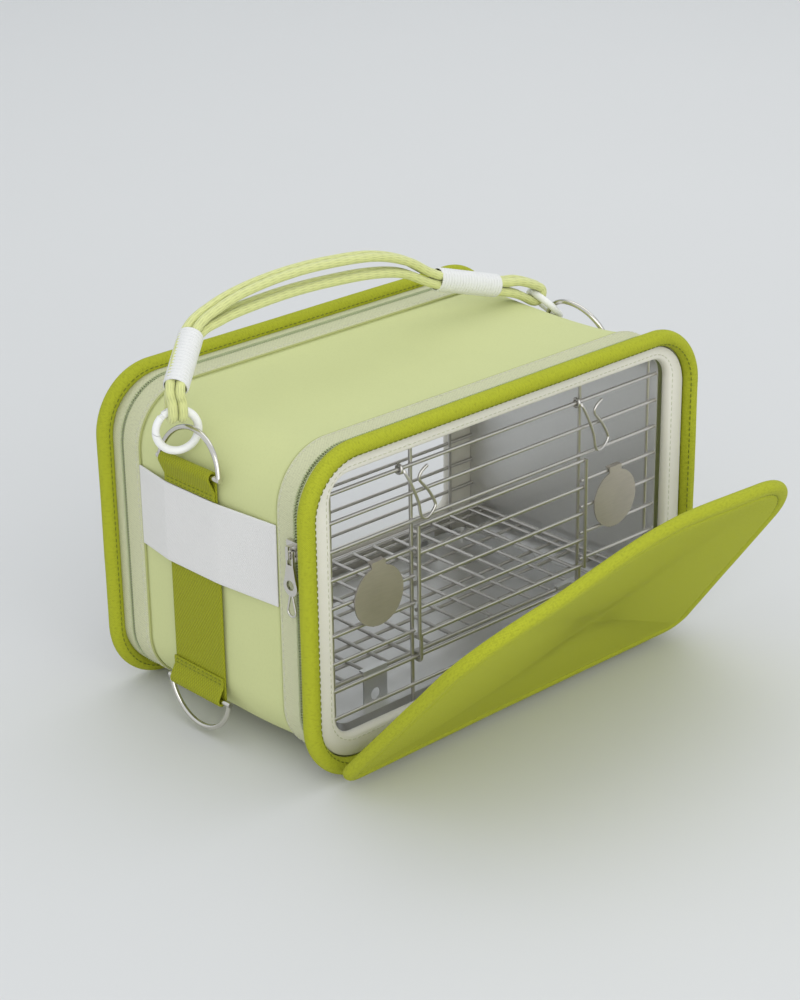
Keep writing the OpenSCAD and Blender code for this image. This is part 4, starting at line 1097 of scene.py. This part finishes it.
def rope_route(side):
    """Closed route of one loop of rope."""
    return np.concatenate([strand(side, 1), ring_turn("right", -side, 1), strand(side, -1)[::-1],
                           ring_turn("left", side, -1)])


# %% [markdown]
# The spline's points crowd at the rings and spread on the long runs. So the
# loop is read off again every millimetre and eased, which keeps the rope round
# and its braid even, and then it gets a round section.

# %% Rope
def tube_along(P, H, radius, sides=16):
    """Tube round a curve: at each point a ring of points square to the curve.
    Its first direction is the side direction H with the part along T removed,
    so the tube doesn't twist."""
    T = unit(np.gradient(P, axis=0))
    U = unit(H - np.sum(H * T, 1, keepdims=True) * T)
    return round_section(P, U, np.cross(T, U), radius, 2 * np.pi * np.arange(sides) / sides)


def even_line(side):
    """One loop as points 1 mm apart, eased four times with weights 1, 2, 1. It
    starts inside the left whipping and stops about one rope's width before
    that. Columns are the place and the side direction."""
    line = spline(rope_route(side), PER_ROW, True)
    line = np.roll(line, -int(PER_ROW * (2 * len(ROWS) + TURN_ROWS - START_BACK)), 0)
    run = lengths(line[:, :3], 0)
    line = sample(np.arange(0, run[-1] - ROPE_D - 0.6, 1.0), run, line)
    for _ in range(4):
        line[1:-1] = (line[:-2] + 2 * line[1:-1] + line[2:]) / 4
    return line


for k, side in enumerate((-1, 1)):
    route = even_line(side)
    line, beside = route[:, :3], route[:, 3:]
    total = float(lengths(line, 0)[-1])
    P = tube_along(line, beside, ROPE_D / 2)
    rope = outward(dress(grid_mesh(f"handle_rope_{k + 1}", P, caps=True), rope_cord))
    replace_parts(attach(rope, "handle"), "handle_rope")
    print("rope loop", k + 1, "is", round(total), "mm long")


# %% [markdown]
# A whipping is thin cord wound tightly round the four strands. Its surface is
# a helix of round ridges: the radius at a point rises and falls once for each
# turn, and the place in that wave moves on by a full turn each time round.

# %% Whippings
WHIP_CORE, WHIP_RELIEF = 5.9, 0.7


def whipping_surface(a, b, radius=6.5, pitch=2.0, n=64):
    """Ridged sleeve from a to b: the radius falls by the relief times one
    minus a half circle of the phase, where phase = length / pitch + angle / 360."""
    v = b - a
    total = np.floor(np.linalg.norm(v) / pitch) * pitch
    T = unit(v)
    U = unit(np.cross(T, [0, 0, 1.0]))
    W = np.cross(T, U)
    rows = int(total / pitch) * 10
    s = np.linspace(0, total, rows)[:, None]
    t = (2 * np.pi * np.arange(n) / n)[None]
    phase = (s / pitch + t / (2 * np.pi)) % 1.0
    ridge = np.sqrt(np.clip(1 - (2 * phase - 1) ** 2, 0, 1))
    edge = np.clip(np.minimum(s, total - s) / 0.8, 0, 1)
    r = radius - WHIP_RELIEF * (1 - ridge) - WHIP_RELIEF * (1 - np.sqrt(1 - (1 - edge) ** 2))
    ring = np.cos(t)[..., None] * U + np.sin(t)[..., None] * W
    outer = a + s[..., None] * T + r[..., None] * ring
    inner = a + s[::-1][..., None] * T + WHIP_CORE * np.ones_like(r)[..., None] * ring
    return np.concatenate([outer, inner[::max(1, rows // 6)], inner[-1:]])


for name, i in (("left", 1), ("right", 9)):
    P = whipping_surface(ROWS[i, :3], ROWS[i + 1, :3])
    obj = outward(dress(grid_mesh(name + "_whipping_cord", P, wrap_rows=True), white_cord))
    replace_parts(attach(obj, "handle"), name + "_whipping")
print("whippings:", len(obj.data.vertices), "points in the right one")


# %% [markdown]
# ## Door clips
#
# The clips are bent from spring wire, with a coil round the grille's top wire.
# The solids are eight-sided; a smooth round wire along the same bends looks
# like drawn wire, so a spline tube replaces each.

# %% Clips
CLIP = np.array([
    [0, -2.1, 0], [3.2, -3.8, -7.5], [7.6, -4.2, -18], [9.6, -4, -26], [12, -3.8, -28.8],
    [15.6, -3.6, -28.6], [19.6, -3.2, -25.6], [20.2, -2.8, -22.6], [16, -2.3, -15],
    [10.6, -2.2, -8.4], [11.6, -2.3, -4.6], [16, -2.6, -1.6]])
CLIP_WIRE, CLIP_COIL_R, CLIP_Y, CLIP_Z = 1.6, 2.1, -69.6, 148.0


def clip_surface(x):
    """Coil of nearly one and a half turns round the grille's wire, then the
    bent arm, as one round wire that narrows towards both ends."""
    a = np.radians(np.linspace(-620, -90, 48))
    along = CLIP_WIRE * (a - a[0]) / (a[-1] - a[0]) - CLIP_WIRE
    coil_line = np.stack([along, CLIP_COIL_R * np.sin(a), CLIP_COIL_R * np.cos(a)], 1)
    arm = spline(CLIP, 10, False)
    line = np.concatenate([coil_line, arm[4:], CLIP[-1:]]) + np.array([x, CLIP_Y, CLIP_Z])
    T = unit(np.gradient(line, axis=0))
    U = unit(np.cross(T, [0.1, 1.0, 0.05]))
    step = np.arange(len(line))
    tip = np.clip(1 - np.minimum(step, step[::-1]) / 2, 0, 1)
    r = CLIP_WIRE / 2 * np.sqrt(np.clip(1 - tip**2, 0.04, 1))
    return round_section(line, U, np.cross(T, U), r[:, None, None], 2 * np.pi * np.arange(12) / 12)


for name, x in (("left", -68.0), ("right", 57.0)):
    obj = outward(dress(grid_mesh(name + "_spring_clip", clip_surface(x), caps=True), wire_steel))
    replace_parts(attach(obj, name + "_clip"), name + "_door_clip")
print("clips:", CLIP_WIRE, "mm wire")
